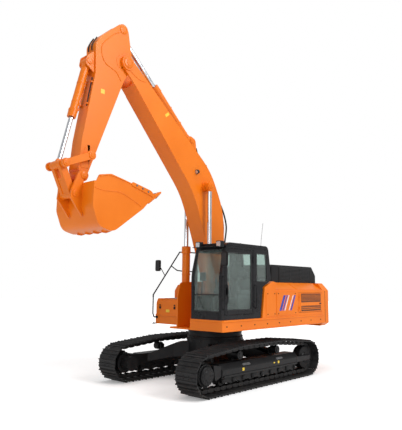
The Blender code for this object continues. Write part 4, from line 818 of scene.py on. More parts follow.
def make_counterweight_detail():
    """Joint lines, lifting eyes, tail lamps and reflectors on the counterweight."""
    angles = np.radians(np.linspace(-23.5, 23.5, 25))
    lines = []
    for z in (1.62, 2.10):
        path = np.stack([3.600 * np.sin(angles), 3.600 * np.cos(angles), np.full(25, z)], 1)
        lines.append(carried(path, np.array([(-0.004, -0.006), (0.004, -0.006), (0.004, 0.006),
                                             (-0.004, 0.006)])))
    for sign in (1, -1):
        lines.append(soft_box((min(sign * 1.488, sign * 1.4935), 3.02, 1.33),
                              (max(sign * 1.488, sign * 1.4935), 3.032, 2.19), 0.001))
    piece("counterweight_lines", lines, "dark_grille", "upper")
    lugs = []
    for x in (-0.62, 0.62):
        eye = arc_outline([(3.10, 2.395, 0), (3.32, 2.395, 0), (3.27, 2.50, 0.05), (3.15, 2.50, 0.05)])
        lugs.append(slab("X", eye, x - 0.022, x + 0.022, 0.006))
        lugs.append(turned((x - 0.034, 3.21, 2.452), (1, 0, 0), [(0, 0.034), (0.068, 0.034)], 20))
    for x in (-0.95, 0.95):
        lugs.append(turned((x, 3.06, 2.398), (0, 0, 1), [(0, 0.05), (0.012, 0.05), (0.018, 0.042)], 6))
    piece("lifting_eyes", lugs, "orange_paint", "upper")
    bezels = []
    lenses = []
    for degrees in (-20.5, 20.5):
        a = math.radians(degrees)
        out = np.array([math.sin(a), math.cos(a), 0])
        for z in (1.50, 1.86):
            place = np.array([3.598 * out[0], 3.598 * out[1], z])
            bezels.append(turned(place, out, [(0, 0.052), (0.012, 0.052), (0.018, 0.044)], 28))
            lenses.append(turned(place + out * 0.016, out, [(0, 0.041), (0.008, 0.038), (0.013, 0.022),
                                                            (0.014, 0.004)], 28))
    piece("tail_bezels", bezels, "rubber", "upper")
    piece("tail_lenses", lenses, "red_lens", "upper")


def make_right_deck():
    """Fuel cap, treads, latches and steps of the tool box and the tank."""
    treads = []
    for y_low, y_high in ((0.10, 0.34), (0.70, 1.28)):
        treads.append(tag("Z", (-1.34, y_low), (-0.66, y_high), 2.319, 0.005, 0.02))
        count = int((y_high - y_low) / 0.045)
        for y in np.linspace(y_low + 0.03, y_high - 0.03, count):
            treads += [soft_box((x, y - 0.006, 2.322), (x + 0.10, y + 0.006, 2.330), 0.002)
                       for x in np.linspace(-1.31, -0.80, 5)]
    treads.append(tag("Z", (-0.53, 0.36), (0.53, 0.54), 1.549, 0.005, 0.02))
    piece("deck_treads", treads, "step_grey", "upper")
    lid_treads = [tag("Z", (-1.36, -0.56), (-0.66, -0.10), 1.959, 0.005, 0.02)]
    for y in np.linspace(-0.52, -0.14, 8):
        lid_treads += [soft_box((x, y - 0.006, 1.962), (x + 0.10, y + 0.006, 1.970), 0.002)
                       for x in np.linspace(-1.33, -0.80, 5)]
    piece("lid_treads", lid_treads, "step_grey", "tool_box_lid")
    cap = [turned((-1.0, 0.5, 2.360), (0, 0, 1), [(0, 0.078), (0.024, 0.080), (0.034, 0.070), (0.036, 0.030),
                                                (0.046, 0.026), (0.047, 0.004)], 28)]
    for a in np.linspace(0, 2 * np.pi, 10, endpoint=False):
        cap.append(soft_box((-1.0 + 0.078 * math.cos(a) - 0.005, 0.5 + 0.078 * math.sin(a) - 0.005, 2.362),
                            (-1.0 + 0.078 * math.cos(a) + 0.005, 0.5 + 0.078 * math.sin(a) + 0.005,
                             2.382), 0.002))
    piece("fuel_cap", cap, "black_paint", "upper")
    catches = []
    hooks = []
    for x in (-1.32, -0.78):
        catches.append(soft_box((x - 0.030, -0.716, 1.690), (x + 0.030, -0.698, 1.752), 0.004))
        hooks.append(soft_box((x - 0.022, -0.714, 1.764), (x + 0.022, -0.698, 1.806), 0.004))
    piece("tool_catches", catches, "black_paint", "upper")
    piece("tool_hooks", hooks, "black_paint", "tool_box_lid")
    piece("tool_notice", [tag("Y", (-1.10, 1.605), (-0.97, 1.675), -0.700, -0.002, 0.008)], "yellow_mark",
          "upper")
    folds = [tag("Y", (-1.40, 1.79), (-0.62, 1.90), -0.701, -0.006, 0.02)]
    piece("lid_press", folds, "orange_paint", "tool_box_lid")
    skins = [tag("X", (0.03, 1.60), (0.70, 2.12), -1.469, -0.008, 0.03),
             tag("X", (0.76, 1.60), (1.46, 2.12), -1.469, -0.008, 0.03)]
    skins.append(tag("Y", (-1.30, 2.00), (-0.66, 2.26), -0.014, -0.006, 0.03))
    piece("tank_panels", skins, "orange_paint", "upper")
    steps = []
    for z, y in ((1.32, -0.62), (1.32, 0.30)):
        steps.append(pipe([(-1.46, y - 0.16, z), (-1.53, y - 0.16, z - 0.02), (-1.53, y + 0.16, z - 0.02),
                           (-1.46, y + 0.16, z)], 0.014))
    feet = [turned((-1.36, 1.05, 2.322), (0, 0, 1), [(0, 0.045), (0.010, 0.045), (0.014, 0.030)], 20),
            turned((-1.445, -0.700, 1.47), (0, -1, 0), [(0, 0.040), (0.010, 0.040), (0.014, 0.028)], 20)]
    piece("steps_right", steps + feet, "black_paint", "upper")


# ---------------------------------------------------------------- cab
WINDSCREEN = (0.63, 1.41, 1.72, 3.12)           # low x, high x, low z, high z
DOOR = (-1.40, -0.33, 1.66, 3.13)               # low y, high y, low z, high z
QUARTER = (-0.22, 0.22, 2.40, 3.08)
RIGHT_PANE = (-1.36, -0.12, 2.05, 3.08)


def cab_front(z):
    """How far forward the windscreen's outer face stands at a height: two straight runs."""
    return np.interp(z, [1.55, 2.55, 3.27], [-1.51, -1.515, -1.34])


def make_cab_trim():
    """Gaskets, split bar, gutters, hatch, door grip, grab rails and vents of the cab."""
    x0, x1, z0, z1 = WINDSCREEN
    rubber = []
    heights = np.linspace(z0, z1, 12)
    for x, width in ((x0, 0.022), (x1, -0.022)):
        face = cab_front(heights)
        outline = np.vstack([np.stack([face + 0.006, heights], 1),
                             np.stack([face + 0.036, heights], 1)[::-1]])
        rubber.append(slab("X", outline, min(x, x + width), max(x, x + width), 0.002))
    for z in (z0 + 0.011, 2.10, z1 - 0.011):
        y = float(cab_front(z))
        rubber.append(soft_box((x0, y + 0.004, z - 0.013), (x1, y + 0.034, z + 0.013), 0.004))
    y0, y1, z0, z1 = RIGHT_PANE
    rubber += frame_ring("X", (y0 + 0.02, z0 + 0.02), (y1 - 0.02, z1 - 0.02), CAB_RIGHT + 0.020, 0.024,
                         -0.026)
    y0, y1, z0, z1 = QUARTER
    rubber += frame_ring("X", (y0 + 0.02, z0 + 0.02), (y1 - 0.02, z1 - 0.02), CAB_LEFT - 0.022, 0.024, 0.026)
    piece("cab_gaskets", rubber, "rubber", "upper")
    y0, y1, z0, z1 = DOOR
    gasket = frame_ring("X", (y0 + 0.095, z0 + 0.115), (y1 - 0.095, z1 - 0.095), CAB_LEFT - 0.022, 0.022,
                        0.026)
    piece("door_gasket", gasket, "rubber", "cab_door")
    edge = frame_ring("X", (y0 + 0.030, z0 + 0.030), (y1 - 0.050, z1 - 0.030), CAB_LEFT - 0.002, 0.022, 0.008)
    edge.append(tag("X", (y0 + 0.09, z0 + 0.010), (y1 - 0.12, z0 + 0.088), CAB_LEFT - 0.002, 0.009, 0.02))
    grip = pipe([(CAB_LEFT, y0 + 0.055, 1.90), (CAB_LEFT + 0.045, y0 + 0.055, 1.92),
                 (CAB_LEFT + 0.045, y0 + 0.055, 2.30), (CAB_LEFT, y0 + 0.055, 2.32)], 0.011)
    lock = turned((CAB_LEFT + 0.002, y0 + 0.11, 2.03), (1, 0, 0),
                  [(0, 0.022), (0.008, 0.022), (0.011, 0.014)], 20)
    piece("door_trim", edge + [grip, lock], "cab_black", "cab_door")
    trim = []
    gutter = [(CAB_LEFT + 0.002, -1.30, 3.205), (CAB_LEFT + 0.006, -0.9, 3.212),
              (CAB_LEFT + 0.006, -0.1, 3.212),
              (CAB_LEFT + 0.002, 0.24, 3.205)]
    trim.append(carried(smooth_path(gutter, 5), np.array([(-0.010, -0.012), (0.010, -0.012), (0.010, 0.012),
                                                        (-0.010, 0.012)])))
    trim.append(tag("Z", (0.74, -1.00), (1.30, -0.28), CAB_TOP - 0.002, 0.022, 0.06))
    trim.append(tag("Z", (0.79, -0.95), (1.25, -0.33), CAB_TOP + 0.018, 0.010, 0.05))
    trim.append(pipe([(0.92, -0.36, CAB_TOP + 0.024), (0.92, -0.36, CAB_TOP + 0.050),
                      (1.12, -0.36, CAB_TOP + 0.050), (1.12, -0.36, CAB_TOP + 0.024)], 0.008))
    trim.append(pipe([(CAB_LEFT, -1.452, 1.78), (CAB_LEFT + 0.050, -1.452, 1.81),
                      (CAB_LEFT + 0.050, -1.452, 2.48),
                      (CAB_LEFT, -1.452, 2.51)], 0.012))
    trim.append(pipe([(CAB_LEFT, -0.270, 1.78), (CAB_LEFT + 0.045, -0.270, 1.81),
                      (CAB_LEFT + 0.045, -0.270, 2.30),
                      (CAB_LEFT, -0.270, 2.33)], 0.012))
    for z in np.linspace(1.70, 1.98, 9):
        trim.append(soft_box((CAB_LEFT - 0.002, -0.235, z), (CAB_LEFT + 0.008, -0.10, z + 0.014), 0.003))
    x0, x1, z0, z1 = WINDSCREEN
    trim.append(tag("Y", (x0 + 0.02, 1.585), (x1 - 0.02, 1.690), -1.509, -0.008, 0.02))
    visor = arc_outline([(-1.360, 3.195, 0.01), (-1.560, 3.155, 0.01), (-1.562, 3.168, 0.0),
                         (-1.360, 3.225, 0.0)])
    trim.append(slab("X", visor, x0, x1, 0.003))
    piece("cab_trim_parts", trim, "cab_black", "upper")
    wiper = [pipe([(1.02, -1.512, 1.66), (1.02, -1.530, 1.70), (0.80, -1.532, 2.06)], 0.007),
             pipe([(0.74, -1.528, 1.78), (0.82, -1.532, 2.36)], 0.006),
             turned((1.02, -1.505, 1.66), (0, -1, 0), [(0, 0.024), (0.020, 0.022), (0.026, 0.012)], 20)]
    piece("wiper", wiper, "rubber", "upper")
    aerials = [hose([(1.30, 0.20, 3.24), (1.31, 0.22, 3.50), (1.33, 0.26, 3.86)], 0.004, 8),
               turned((1.30, 0.20, 3.23), (0, 0, 1), [(0, 0.020), (0.030, 0.018), (0.050, 0.008)], 16)]
    piece("aerial", aerials, "rubber", "upper")
    lenses = []
    for x in (0.78, 1.40):
        lenses.append(tag("Y", (x - 0.056, 3.165), (x + 0.056, 3.275), -1.538, -0.012, 0.02))
    piece("cab_lamp_lenses", lenses, "lamp_lens", "upper")
    faces = [tag("Y", (1.540, 2.735), (1.690, 3.025), -1.561, 0.006, 0.03),
             tag("Y", (-1.580, 2.695), (-1.420, 2.965), -0.621, 0.006, 0.03)]
    piece("mirror_faces", faces, "mirror_face", "upper")
    backs = [tag("Y", (1.550, 2.750), (1.680, 3.010), -1.599, -0.010, 0.04),
             tag("Y", (-1.570, 2.710), (-1.430, 2.950), -0.659, -0.010, 0.04)]
    piece("mirror_backs", backs, "rubber", "upper")


def make_cab_inside():
    """Padded seat, headrest, armrests, levers with bellows, monitor, pedals and a storage box.

    A ring of the seat or the backrest at angle a is (half width * |cos a| ** p, half depth * |sin a| ** q)
    with the signs of cos a and sin a. The seat's last three rings shrink as they rise and make its crown.
    """
    middle = (CAB_LEFT + CAB_RIGHT) / 2
    floor = 1.605
    pads = []
    for low, high in (((middle - 0.25, -0.76, floor + 0.225), (middle + 0.25, -0.24, floor + 0.40)),):
        rings = []
        for k in np.linspace(0, 1, 8):
            swell = 1 - 0.10 * (2 * k - 1) ** 4
            half_x = (high[0] - low[0]) / 2 * swell
            half_y = (high[1] - low[1]) / 2 * swell
            angle = np.linspace(0, 2 * np.pi, 40, endpoint=False)
            x = half_x * np.sign(np.cos(angle)) * np.abs(np.cos(angle)) ** 0.35
            y = half_y * np.sign(np.sin(angle)) * np.abs(np.sin(angle)) ** 0.35
            rings.append(np.stack([middle + x, (low[1] + high[1]) / 2 + y,
                                   np.full(40, low[2] + (high[2] - low[2]) * k)], 1))
        for shrink, lift in ((0.86, 0.014), (0.60, 0.026), (0.25, 0.032)):
            ring = rings[7].copy()
            centre = ring.mean(axis=0)
            ring = centre + (ring - centre) * shrink
            ring[:, 2] += lift
            rings.append(ring)
        pads.append(skin(np.array(rings)))
    rows = []
    for k in np.linspace(0, 1, 12):
        angle = np.linspace(0, 2 * np.pi, 32, endpoint=False)
        width = 0.245 - 0.05 * k ** 3
        depth = 0.075 - 0.02 * k
        y = -0.30 + 0.13 * k
        ring = np.stack([middle + width * np.sign(np.cos(angle)) * np.abs(np.cos(angle)) ** 0.45,
                         y + depth * np.sign(np.sin(angle)) * np.abs(np.sin(angle)) ** 0.6,
                         np.full(32, floor + 0.36 + 0.50 * k)], 1)
        rows.append(ring)
    pads.append(skin(np.array(rows)))
    rows = []
    for k in np.linspace(0, 1, 9):
        angle = np.linspace(0, 2 * np.pi, 28, endpoint=False)
        swell = math.sqrt(max(1 - (2 * k - 1) ** 4, 0.04))
        ring = np.stack([middle + 0.135 * swell * np.cos(angle), -0.150 + 0.050 * swell * np.sin(angle),
                         np.full(28, floor + 0.89 + 0.17 * k)], 1)
        rows.append(ring)
    pads.append(skin(np.array(rows)))
    piece("seat_cushions", pads, "seat_fabric", "upper", replaces=("operator_seat",))
    inside = [soft_box((middle - 0.40, -0.80, floor + 0.50), (middle - 0.27, -0.28, floor + 0.60), 0.02),
              soft_box((middle + 0.27, -0.80, floor + 0.50), (middle + 0.40, -0.28, floor + 0.60), 0.02)]
    for sign in (-1, 1):
        x = middle + sign * 0.335
        inside.append(turned((x, -0.75, floor + 0.595), (0, -0.12, 1),
                             [(0, 0.045), (0.018, 0.036), (0.036, 0.040), (0.052, 0.030), (0.070, 0.033),
                              (0.085, 0.014), (0.150, 0.013), (0.165, 0.026), (0.250, 0.024),
                              (0.270, 0.012)], 20))
        inside.append(pipe([(middle + sign * 0.10, -1.12, floor + 0.02),
                            (middle + sign * 0.10, -1.16, floor + 0.30),
                            (middle + sign * 0.10, -1.06, floor + 0.48)], 0.012))
        inside.append(soft_box((middle + sign * 0.10 - 0.05, -1.22, floor + 0.05),
                               (middle + sign * 0.10 + 0.05, -1.08, floor + 0.075), 0.006))
    inside.append(soft_box((CAB_RIGHT + 0.06, -1.30, floor + 0.80),
                           (CAB_RIGHT + 0.24, -1.26, floor + 1.00), 0.010))
    inside.append(pipe([(CAB_RIGHT + 0.10, -1.27, floor + 0.40), (CAB_RIGHT + 0.12, -1.27, floor + 0.82)],
                       0.014))
    inside.append(soft_box((CAB_RIGHT + 0.06, -0.90, floor + 0.02),
                           (CAB_RIGHT + 0.12, -0.05, floor + 0.42), 0.02))
    piece("cab_controls", inside, "cab_trim", "upper")
    screen = [tag("Y", (CAB_RIGHT + 0.075, floor + 0.82), (CAB_RIGHT + 0.225, floor + 0.98), -1.261,
                  0.003, 0.008)]
    piece("monitor_screen", screen, "dark_grille", "upper")


# ---------------------------------------------------------------- cylinders
# name: foot, eye, x, barrel radius, rod radius, barrel length, eye radius, half width of the eye,
# barrel body, rod body
CYLINDERS = {
    "boom_cylinder_left": (BOOM_CYLINDER_FOOT, BOOM_EYE, 0.395, 0.10, 0.055, 1.66, 0.110, 0.065,
                           "boom_barrels",
                           "boom_rods"),
    "boom_cylinder_right": (BOOM_CYLINDER_FOOT, BOOM_EYE, -0.395, 0.10, 0.055, 1.66, 0.110, 0.065,
                            "boom_barrels",
                            "boom_rods"),
    "arm_cylinder": (ARM_CYLINDER_FOOT, ARM_EYE, 0.0, 0.10, 0.058, 1.62, 0.110, 0.085, "arm_barrel",
                     "arm_rod"),
    "bucket_cylinder": (BUCKET_CYLINDER_FOOT, SHARED_PIN, 0.0, 0.08, 0.045, 1.30, 0.085, 0.073,
                        "bucket_barrel",
                        "bucket_rod"),
}


def make_cylinders():
    """Glands with flanges and bolts, rod eyes, grease nipples, clamps and a feed pipe on each barrel.

    Glands, collars and seals are profiles (distance, radius) turned about the line from foot to eye;
    the rod eyes are turned about X.
    """
    for name, (foot, eye, x, barrel, rod, length, eye_radius, half, barrel_body,
               rod_body) in CYLINDERS.items():
        along = unit(foot, eye)
        start = at(x, foot)
        total = math.hypot(eye[0] - foot[0], eye[1] - foot[1])
        side = np.cross(along, (1.0, 0, 0))
        back = side if side[1] > 0 else -side
        gland = [turned(start + along * (length - 0.165), along,
                        [(0, barrel * 1.00), (0.004, barrel * 1.20), (0.040, barrel * 1.20),
                         (0.046, barrel * 1.14),
                         (0.140, barrel * 1.14), (0.150, barrel * 1.05), (0.172, barrel * 0.96),
                         (0.177, rod + 0.012), (0.179, rod + 0.006)], 36)]
        _, across, other = cross_frame(along)
        for a in np.linspace(0, 2 * np.pi, 10, endpoint=False):
            spoke = across * math.cos(a) + other * math.sin(a)
            gland += bolt(start + along * (length - 0.123) + spoke * barrel * 1.02, along, 0.020)
        gland.append(turned(start + along * 0.115, along, [(0, barrel * 1.00), (0.004, barrel * 1.09),
                                                            (0.030, barrel * 1.09), (0.036, barrel)], 36))
        piece(name + "_gland", gland, "orange_paint", barrel_body)
        wiper = [turned(start + along * (length + 0.010), along, [(0, rod + 0.010), (0.006, rod + 0.010),
                                                                    (0.009, rod + 0.004)], 32)]
        piece(name + "_seal", wiper, "rubber", barrel_body)
        head = [turned(at(x - half - 0.001, eye), (1, 0, 0), [(0, eye_radius * 0.98),
                                                              (0.006, eye_radius * 1.04),
                                                      (2 * half - 0.004, eye_radius * 1.04),
                                                      (2 * half + 0.002, eye_radius * 0.98)], 40)]
        head.append(turned(start + along * (total - eye_radius - 0.028), along,
                           [(0, rod + 0.002), (0.008, rod + 0.010), (0.040, min(rod + 0.022, half))], 32))
        nipple = at(x, eye) + along * eye_radius * 1.03
        head.append(turned(nipple, along, [(0, 0.012), (0.008, 0.012), (0.010, 0.006), (0.022, 0.006)], 8))
        piece(name + "_eye", head, "orange_paint", rod_body)
        lines = []
        port = start + along * 0.20 + back * barrel * 0.98
        gland_port = start + along * (length - 0.21) + back * barrel * 0.98
        lines.append(turned(port, back, [(0, 0.026), (0.024, 0.026), (0.028, 0.018), (0.040, 0.018)], 6))
        lines.append(turned(gland_port, back, [(0, 0.026), (0.024, 0.026), (0.028, 0.018),
                                               (0.040, 0.018)], 6))
        lift = back * 0.034
        lines.append(pipe([gland_port + lift, gland_port + lift - along * 0.10,
                           start + along * 0.36 + back * barrel
                           + lift * 0.6], 0.014, 12))
        for distance in (0.50, 0.95):
            middle = start + along * min(distance, length - 0.3)
            lines.append(turned(middle, along, [(0, barrel), (0.002, barrel * 1.05), (0.028, barrel * 1.05),
                                                (0.030, barrel)], 36))
            lines.append(turned(middle + back * (barrel + 0.020) - np.array([0.022, 0,
                                                                             0]) + along * 0.015, (1, 0, 0),
                                [(0, 0.024), (0.044, 0.024)], 14))
        piece(name + "_feed", lines, "orange_paint", barrel_body)


# ---------------------------------------------------------------- boom and arm
def pin_end(place, sign, radius, ears=2):
    """End plate of a pin: a chamfered disc and its bolts."""
    axis = (sign, 0, 0)
    patches = [turned(place, axis, [(0, radius), (0.012, radius), (0.018, radius * 0.90),
                                    (0.020, radius * 0.5),
                                    (0.028, radius * 0.46), (0.028, 0.004)], 32)]
    for a in np.linspace(0.4, 0.4 + 2 * np.pi, ears + 1, endpoint=False):
        spot = np.asarray(place) + (sign * 0.018, radius * 0.72 * math.cos(a), radius * 0.72 * math.sin(a))
        patches += bolt(spot, axis, radius * 0.17)
    return patches


def boom_surface():
    """Search tree of the boom, places on its middle line, and the direction out of its top at each.

    The direction is the middle line's slope crossed with X.
    """
    middle = smooth_path([(0.0, -0.05, 3.00), (0.0, -0.20, 3.90), (0.0, -0.62, 4.75), (0.0, -1.60, 5.75),
                          (0.0, -2.70, 6.70), (0.0, -3.10, 7.02)], 6)
    slope = np.gradient(middle, axis=0)
    slope /= np.linalg.norm(slope, axis=1, keepdims=True)
    outward = np.cross(slope, (1.0, 0, 0))
    outward *= np.sign(outward[:, 2] + outward[:, 1])[:, None]
    return probe("boom"), middle, outward


def boom_line(x, lift, first, last, below=False):
    """Points at a height over the boom's top, or under its belly, between two samples."""
    tree, middle, outward = boom_surface()
    points = []
    for centre, out in list(zip(middle, outward))[first:last]:
        out = -out if below else out
        start = centre + (x, 0, 0) + out * 1.2
        points.append(touched(tree, start, -out) + out * lift)
    return points


def make_boom_detail():
    """Weld beads, pin ends, pipes with clamps, hose loops, work lamp and brackets of the boom."""
    settings = bpy.context.scene.excavator
    beads = []
    for x in (-0.228, 0.228):
        beads.append(hose(boom_line(x, 0.001, 1, 27), 0.006, 6, 2))
        beads.append(hose(boom_line(x, 0.001, 2, 26, below=True), 0.006, 6, 2))
    piece("boom_welds", beads, "orange_paint", "boom")
    ends = []
    for sign in (1, -1):
        ends += pin_end(at(sign * 0.248, BOOM_TIP), sign, 0.125)
        ends += pin_end(at(sign * 0.139, ARM_CYLINDER_FOOT), sign, 0.075)
        cover = arc_outline([(-0.79, 4.62, 0.05), (-0.55, 4.66, 0.05), (-0.50, 4.90, 0.06),
                             (-0.80, 4.93, 0.08)])
        ends.append(slab("X", cover, *sorted((sign * 0.229, sign * 0.238)), 0.003))
        fork = arc_outline([(-2.96, 6.88, 0.10), (-3.16, 6.98, 0.05), (-3.40, 7.12, 0.08),
                            (-3.22, 7.30, 0.08),
                            (-2.98, 7.13, 0.08), (-2.70, 6.90, 0.10)])
        ends.append(slab("X", fork, *sorted((sign * 0.229, sign * 0.240)), 0.004))
    piece("boom_bosses", ends, "orange_paint", "boom")
    foot = []
    for sign in (1, -1):
        foot += pin_end(at(sign * 0.279, BOOM_FOOT), sign, 0.115, 3)
        foot += pin_end(at(sign * 0.544, BOOM_CYLINDER_FOOT), sign, 0.0 + 0.085)
    piece("foot_pins", foot, "orange_paint", "upper")
    outer = []
    for sign in (1, -1):
        outer += pin_end(at(sign * 0.458, BOOM_EYE), sign, 0.080)
    piece("boom_eye_pins", outer, "orange_paint", "boom_rods")
    pipes = []
    clamps = []
    for x in (-0.165, -0.110, 0.110, 0.165):
        low, high = (9, 17) if abs(x) < 0.14 else (9, 26)
        pipes.append(carried(smooth_path(boom_line(x, 0.040, low, high), 2),
                             circle(settings.pipe_radius, 12)))
    for k in (10, 14, 19, 24):
        line = boom_line(0.0, 0.0, k, k + 2)
        out = boom_surface()[2][k]
        ahead = line[1] - line[0]
        ahead /= np.linalg.norm(ahead)
        for x in (-0.138, 0.138):
            base = line[0] + (x, 0, 0)
            ring = [base + ahead * a + np.array([b, 0, 0]) for a, b in ((-0.020, -0.052), (0.020, -0.052),
                                                                       (0.020, 0.052), (-0.020, 0.052))]
            clamps.append(skin(np.array([ring, np.array(ring) + out * 0.054, np.array(ring) + out * 0.060])))
            clamps += bolt(base + out * 0.060, out, 0.018)
    piece("boom_pipes", pipes, "black_paint", "boom")
    piece("boom_clamps", clamps, "orange_paint", "boom")
    loops = []
    for x, bulge in ((-0.165, 0.20), (-0.110, 0.14), (0.110, 0.14), (0.165, 0.20)):
        start = boom_line(x, 0.040, 9, 10)[0]
        low = boom_line(x, 0.060, 1, 2)[0]
        mid = boom_line(x, bulge, 5, 6)[0]
        loops.append(hose([start, start * 0.6 + mid * 0.4 + (0, 0.06, -0.02), mid, low * 0.6 + mid * 0.4, low,
                           low + (0, -0.03, -0.20)], settings.hose_radius, 12, 8))
    piece("boom_hoses", loops, "rubber", "boom")
    fittings = []
    for x in (-0.165, -0.110, 0.110, 0.165):
        spots = boom_line(x, 0.040, 9, 11)
        direction = spots[0] - spots[1]
        fittings.append(turned(spots[0], direction, [(-0.03, 0.018), (-0.02, 0.025), (0.02, 0.025),
                                                     (0.03, 0.023),
                                                     (0.06, 0.023)], 8))
    piece("boom_fittings", fittings, "zinc_fitting", "boom")
    lamp = [turned((0.262, -0.98, 5.12), (0, -0.9, -0.3), [(0, 0.035), (0.010, 0.050), (0.060, 0.058),
                                                          (0.075, 0.056)], 28),
            soft_box((0.228, -0.99, 5.10), (0.262, -0.94, 5.16), 0.004)]
    piece("boom_lamp", lamp, "rubber", "boom")
    piece("boom_lamp_lens", [turned((0.262, -0.98 - 0.9 * 0.0752, 5.12 - 0.3 * 0.0752), (0, -0.9, -0.3),
                                    [(0, 0.050), (0.003, 0.046), (0.006, 0.020), (0.0065, 0.003)], 28)],
          "lamp_lens", "boom")
    notice = slab("X", [(-2.10, 6.24), (-1.99, 6.33), (-2.03, 6.385), (-2.14, 6.295)], 0.2302, 0.2318, 0.0006)
    piece("boom_notice", [notice, mirrored([notice])[0]], "yellow_mark", "boom")


def make_arm_detail():
    """Side stiffeners, pin ends, crossing hoses, brackets and marks of the arm."""
    plates = []
    for sign in (1, -1):
        curve = [(sign * 0.172, -3.46, 7.88), (sign * 0.172, -3.72, 7.68), (sign * 0.172, -3.97, 7.34),
                 (sign * 0.172, -3.88, 7.02), (sign * 0.172, -3.58, 6.90), (sign * 0.172, -3.42, 6.72)]
        plates.append(hose(curve, 0.010, 8, 8))
        collar = arc_outline([(-3.33, 7.09, 0.12), (-3.22, 7.30, 0.12), (-3.40, 7.40, 0.12),
                              (-3.60, 7.20, 0.12),
                              (-3.50, 6.98, 0.12)], 6)
        plates.append(slab("X", collar, *sorted((sign * 0.169, sign * 0.1765)), 0.002))
        tip = arc_outline([(-4.38, 4.62, 0.05), (-4.27, 5.12, 0.10), (-4.13, 5.10, 0.10),
                           (-4.16, 4.62, 0.06)], 5)
        plates.append(slab("X", tip, *sorted((sign * 0.169, sign * 0.178)), 0.003))
        plates += pin_end(at(sign * 0.129, BUCKET_CYLINDER_FOOT), sign, 0.070)
        plates += pin_end(at(sign * 0.169, ARM_EYE), sign, 0.100)
    piece("arm_plates", plates, "orange_paint", "arm")
    pins = []
    for sign in (1, -1):
        pins += pin_end(at(sign * 0.305, ROCKER_PIN), sign, 0.075)
        pins += pin_end(at(sign * 0.305, SHARED_PIN), sign, 0.070)
    piece("rocker_pins", pins, "orange_paint", "rocker")
    pins = []
    for sign in (1, -1):
        pins += pin_end(at(sign * 0.250, BUCKET_PIN), sign, 0.085)
        pins += pin_end(at(sign * 0.250, LINK_PIN), sign, 0.070)
    piece("bucket_pins", pins, "orange_paint", "bucket")
    tree = probe("arm")
    lines = []
    brackets = []
    for x in (-0.06, 0.06):
        points = [touched(tree, (x, -5.2, z), (0, 1, 0)) + (0, -0.030, 0) for z in np.linspace(7.22, 7.42, 3)]
        points += [touched(tree, (x, -5.2, 7.55), (0, 1, 0)) + (0, -0.030, 0.01)]
        lines.append(carried(smooth_path(points, 4), circle(0.014, 12)))
    for x in (-0.12, 0.12):
        run = [touched(tree, (x, -5.2, z), (0, 1, 0)) + (0, -0.026, 0) for z in np.linspace(5.95, 6.60, 6)]
        lines.append(carried(smooth_path(run, 3), circle(0.012, 12)))
        for z in (6.0, 6.5):
            spot = touched(tree, (x, -5.2, z), (0, 1, 0))
            brackets.append(soft_box(spot + (-0.026, -0.044, -0.016), spot + (0.026, 0.004, 0.016), 0.004))
    piece("arm_pipes", lines, "black_paint", "arm")
    piece("arm_brackets", brackets, "orange_paint", "arm")
    marks = [slab("X", arc_outline([(-3.95, 6.30, 0.01), (-3.85, 6.30, 0.01), (-3.85, 6.40, 0.01),
                                    (-3.95, 6.40, 0.01)], 3), 0.1702, 0.1718, 0.0006)]
    piece("arm_notice", marks + mirrored(marks), "yellow_mark", "arm")


# ---------------------------------------------------------------- bucket
def make_bucket_detail():
    """Tooth adapters and points, side cutters with bolts, side beads and wear strips."""
    pitch = (2 * 0.64 - 0.14) / 4
    points = []
    adapters = []
    for k in range(5):
        x = -0.57 + pitch * k
        nose = np.array([(-2.985, 4.080), (-2.93, 4.020), (-2.70, 4.185), (-2.66, 4.245), (-2.70, 4.275),
                         (-2.90, 4.205)])
        adapters.append(slab("X", nose, x - 0.062, x + 0.062, 0.012))
        adapters.append(turned((x - 0.066, -2.765, 4.205), (1, 0, 0), [(0, 0.018), (0.132, 0.018)], 14))
        tip = np.array([(-2.735, 4.165), (-2.70, 4.160), (-2.57, 4.290), (-2.575, 4.318), (-2.72, 4.283)])
        points.append(slab("X", tip, x - 0.052, x + 0.052, 0.016))
    piece("tooth_adapters", adapters, "orange_paint", "bucket")
    piece("tooth_points", points, "worn_steel", "bucket")
    cutters = []
    heads = []
    for sign in (1, -1):
        blade = arc_outline([(-2.84, 4.165, 0.01), (-2.79, 4.215, 0.01), (-2.90, 4.300, 0.03),
                             (-3.42, 4.415, 0.04),
                             (-3.44, 4.330, 0.04), (-3.00, 4.215, 0.05)], 5)
        cutters.append(slab("X", blade, *sorted((sign * 0.638, sign * 0.660)), 0.006))
        heads += bolts([(sign * 0.660, y, z) for y, z in ((-2.98, 4.262), (-3.14, 4.306), (-3.30, 4.350))],
                       (sign, 0, 0), 0.034)
        crease = [(sign * 0.641, -4.34, 4.16), (sign * 0.641, -4.10, 4.13), (sign * 0.641, -3.75, 4.15),
                  (sign * 0.641, -3.45, 4.06), (sign * 0.641, -3.16, 3.93)]
        cutters.append(hose(crease, 0.011, 8, 8))
        edge = [(sign * 0.641, -4.24, 4.405), (sign * 0.641, -3.95, 4.46), (sign * 0.641, -3.45, 4.37),
                (sign * 0.641, -2.92, 4.255)]
        cutters.append(hose(edge, 0.016, 10, 6))
    piece("bucket_cutters", cutters, "orange_paint", "bucket")
    piece("bucket_bolts", heads, "grey_metal", "bucket")
    tree = probe("bucket")
    wear = []
    for x in (-0.42, -0.14, 0.14, 0.42):
        run = [touched(tree, (x, y, 2.6), (0, 0, 1)) + (0, 0, -0.006) for y in np.linspace(-3.98, -3.12, 9)]
        wear.append(carried(np.array(run), np.array([(-0.03, -0.008), (0.03, -0.008), (0.03, 0.008),
                                                     (-0.03, 0.008)])))
    piece("bucket_wear", wear, "orange_paint", "bucket")


# ---------------------------------------------------------------- stage
FLOOR_GLOW = (0.25, 0.95)   # brightens the floor, near and far, for the camera alone


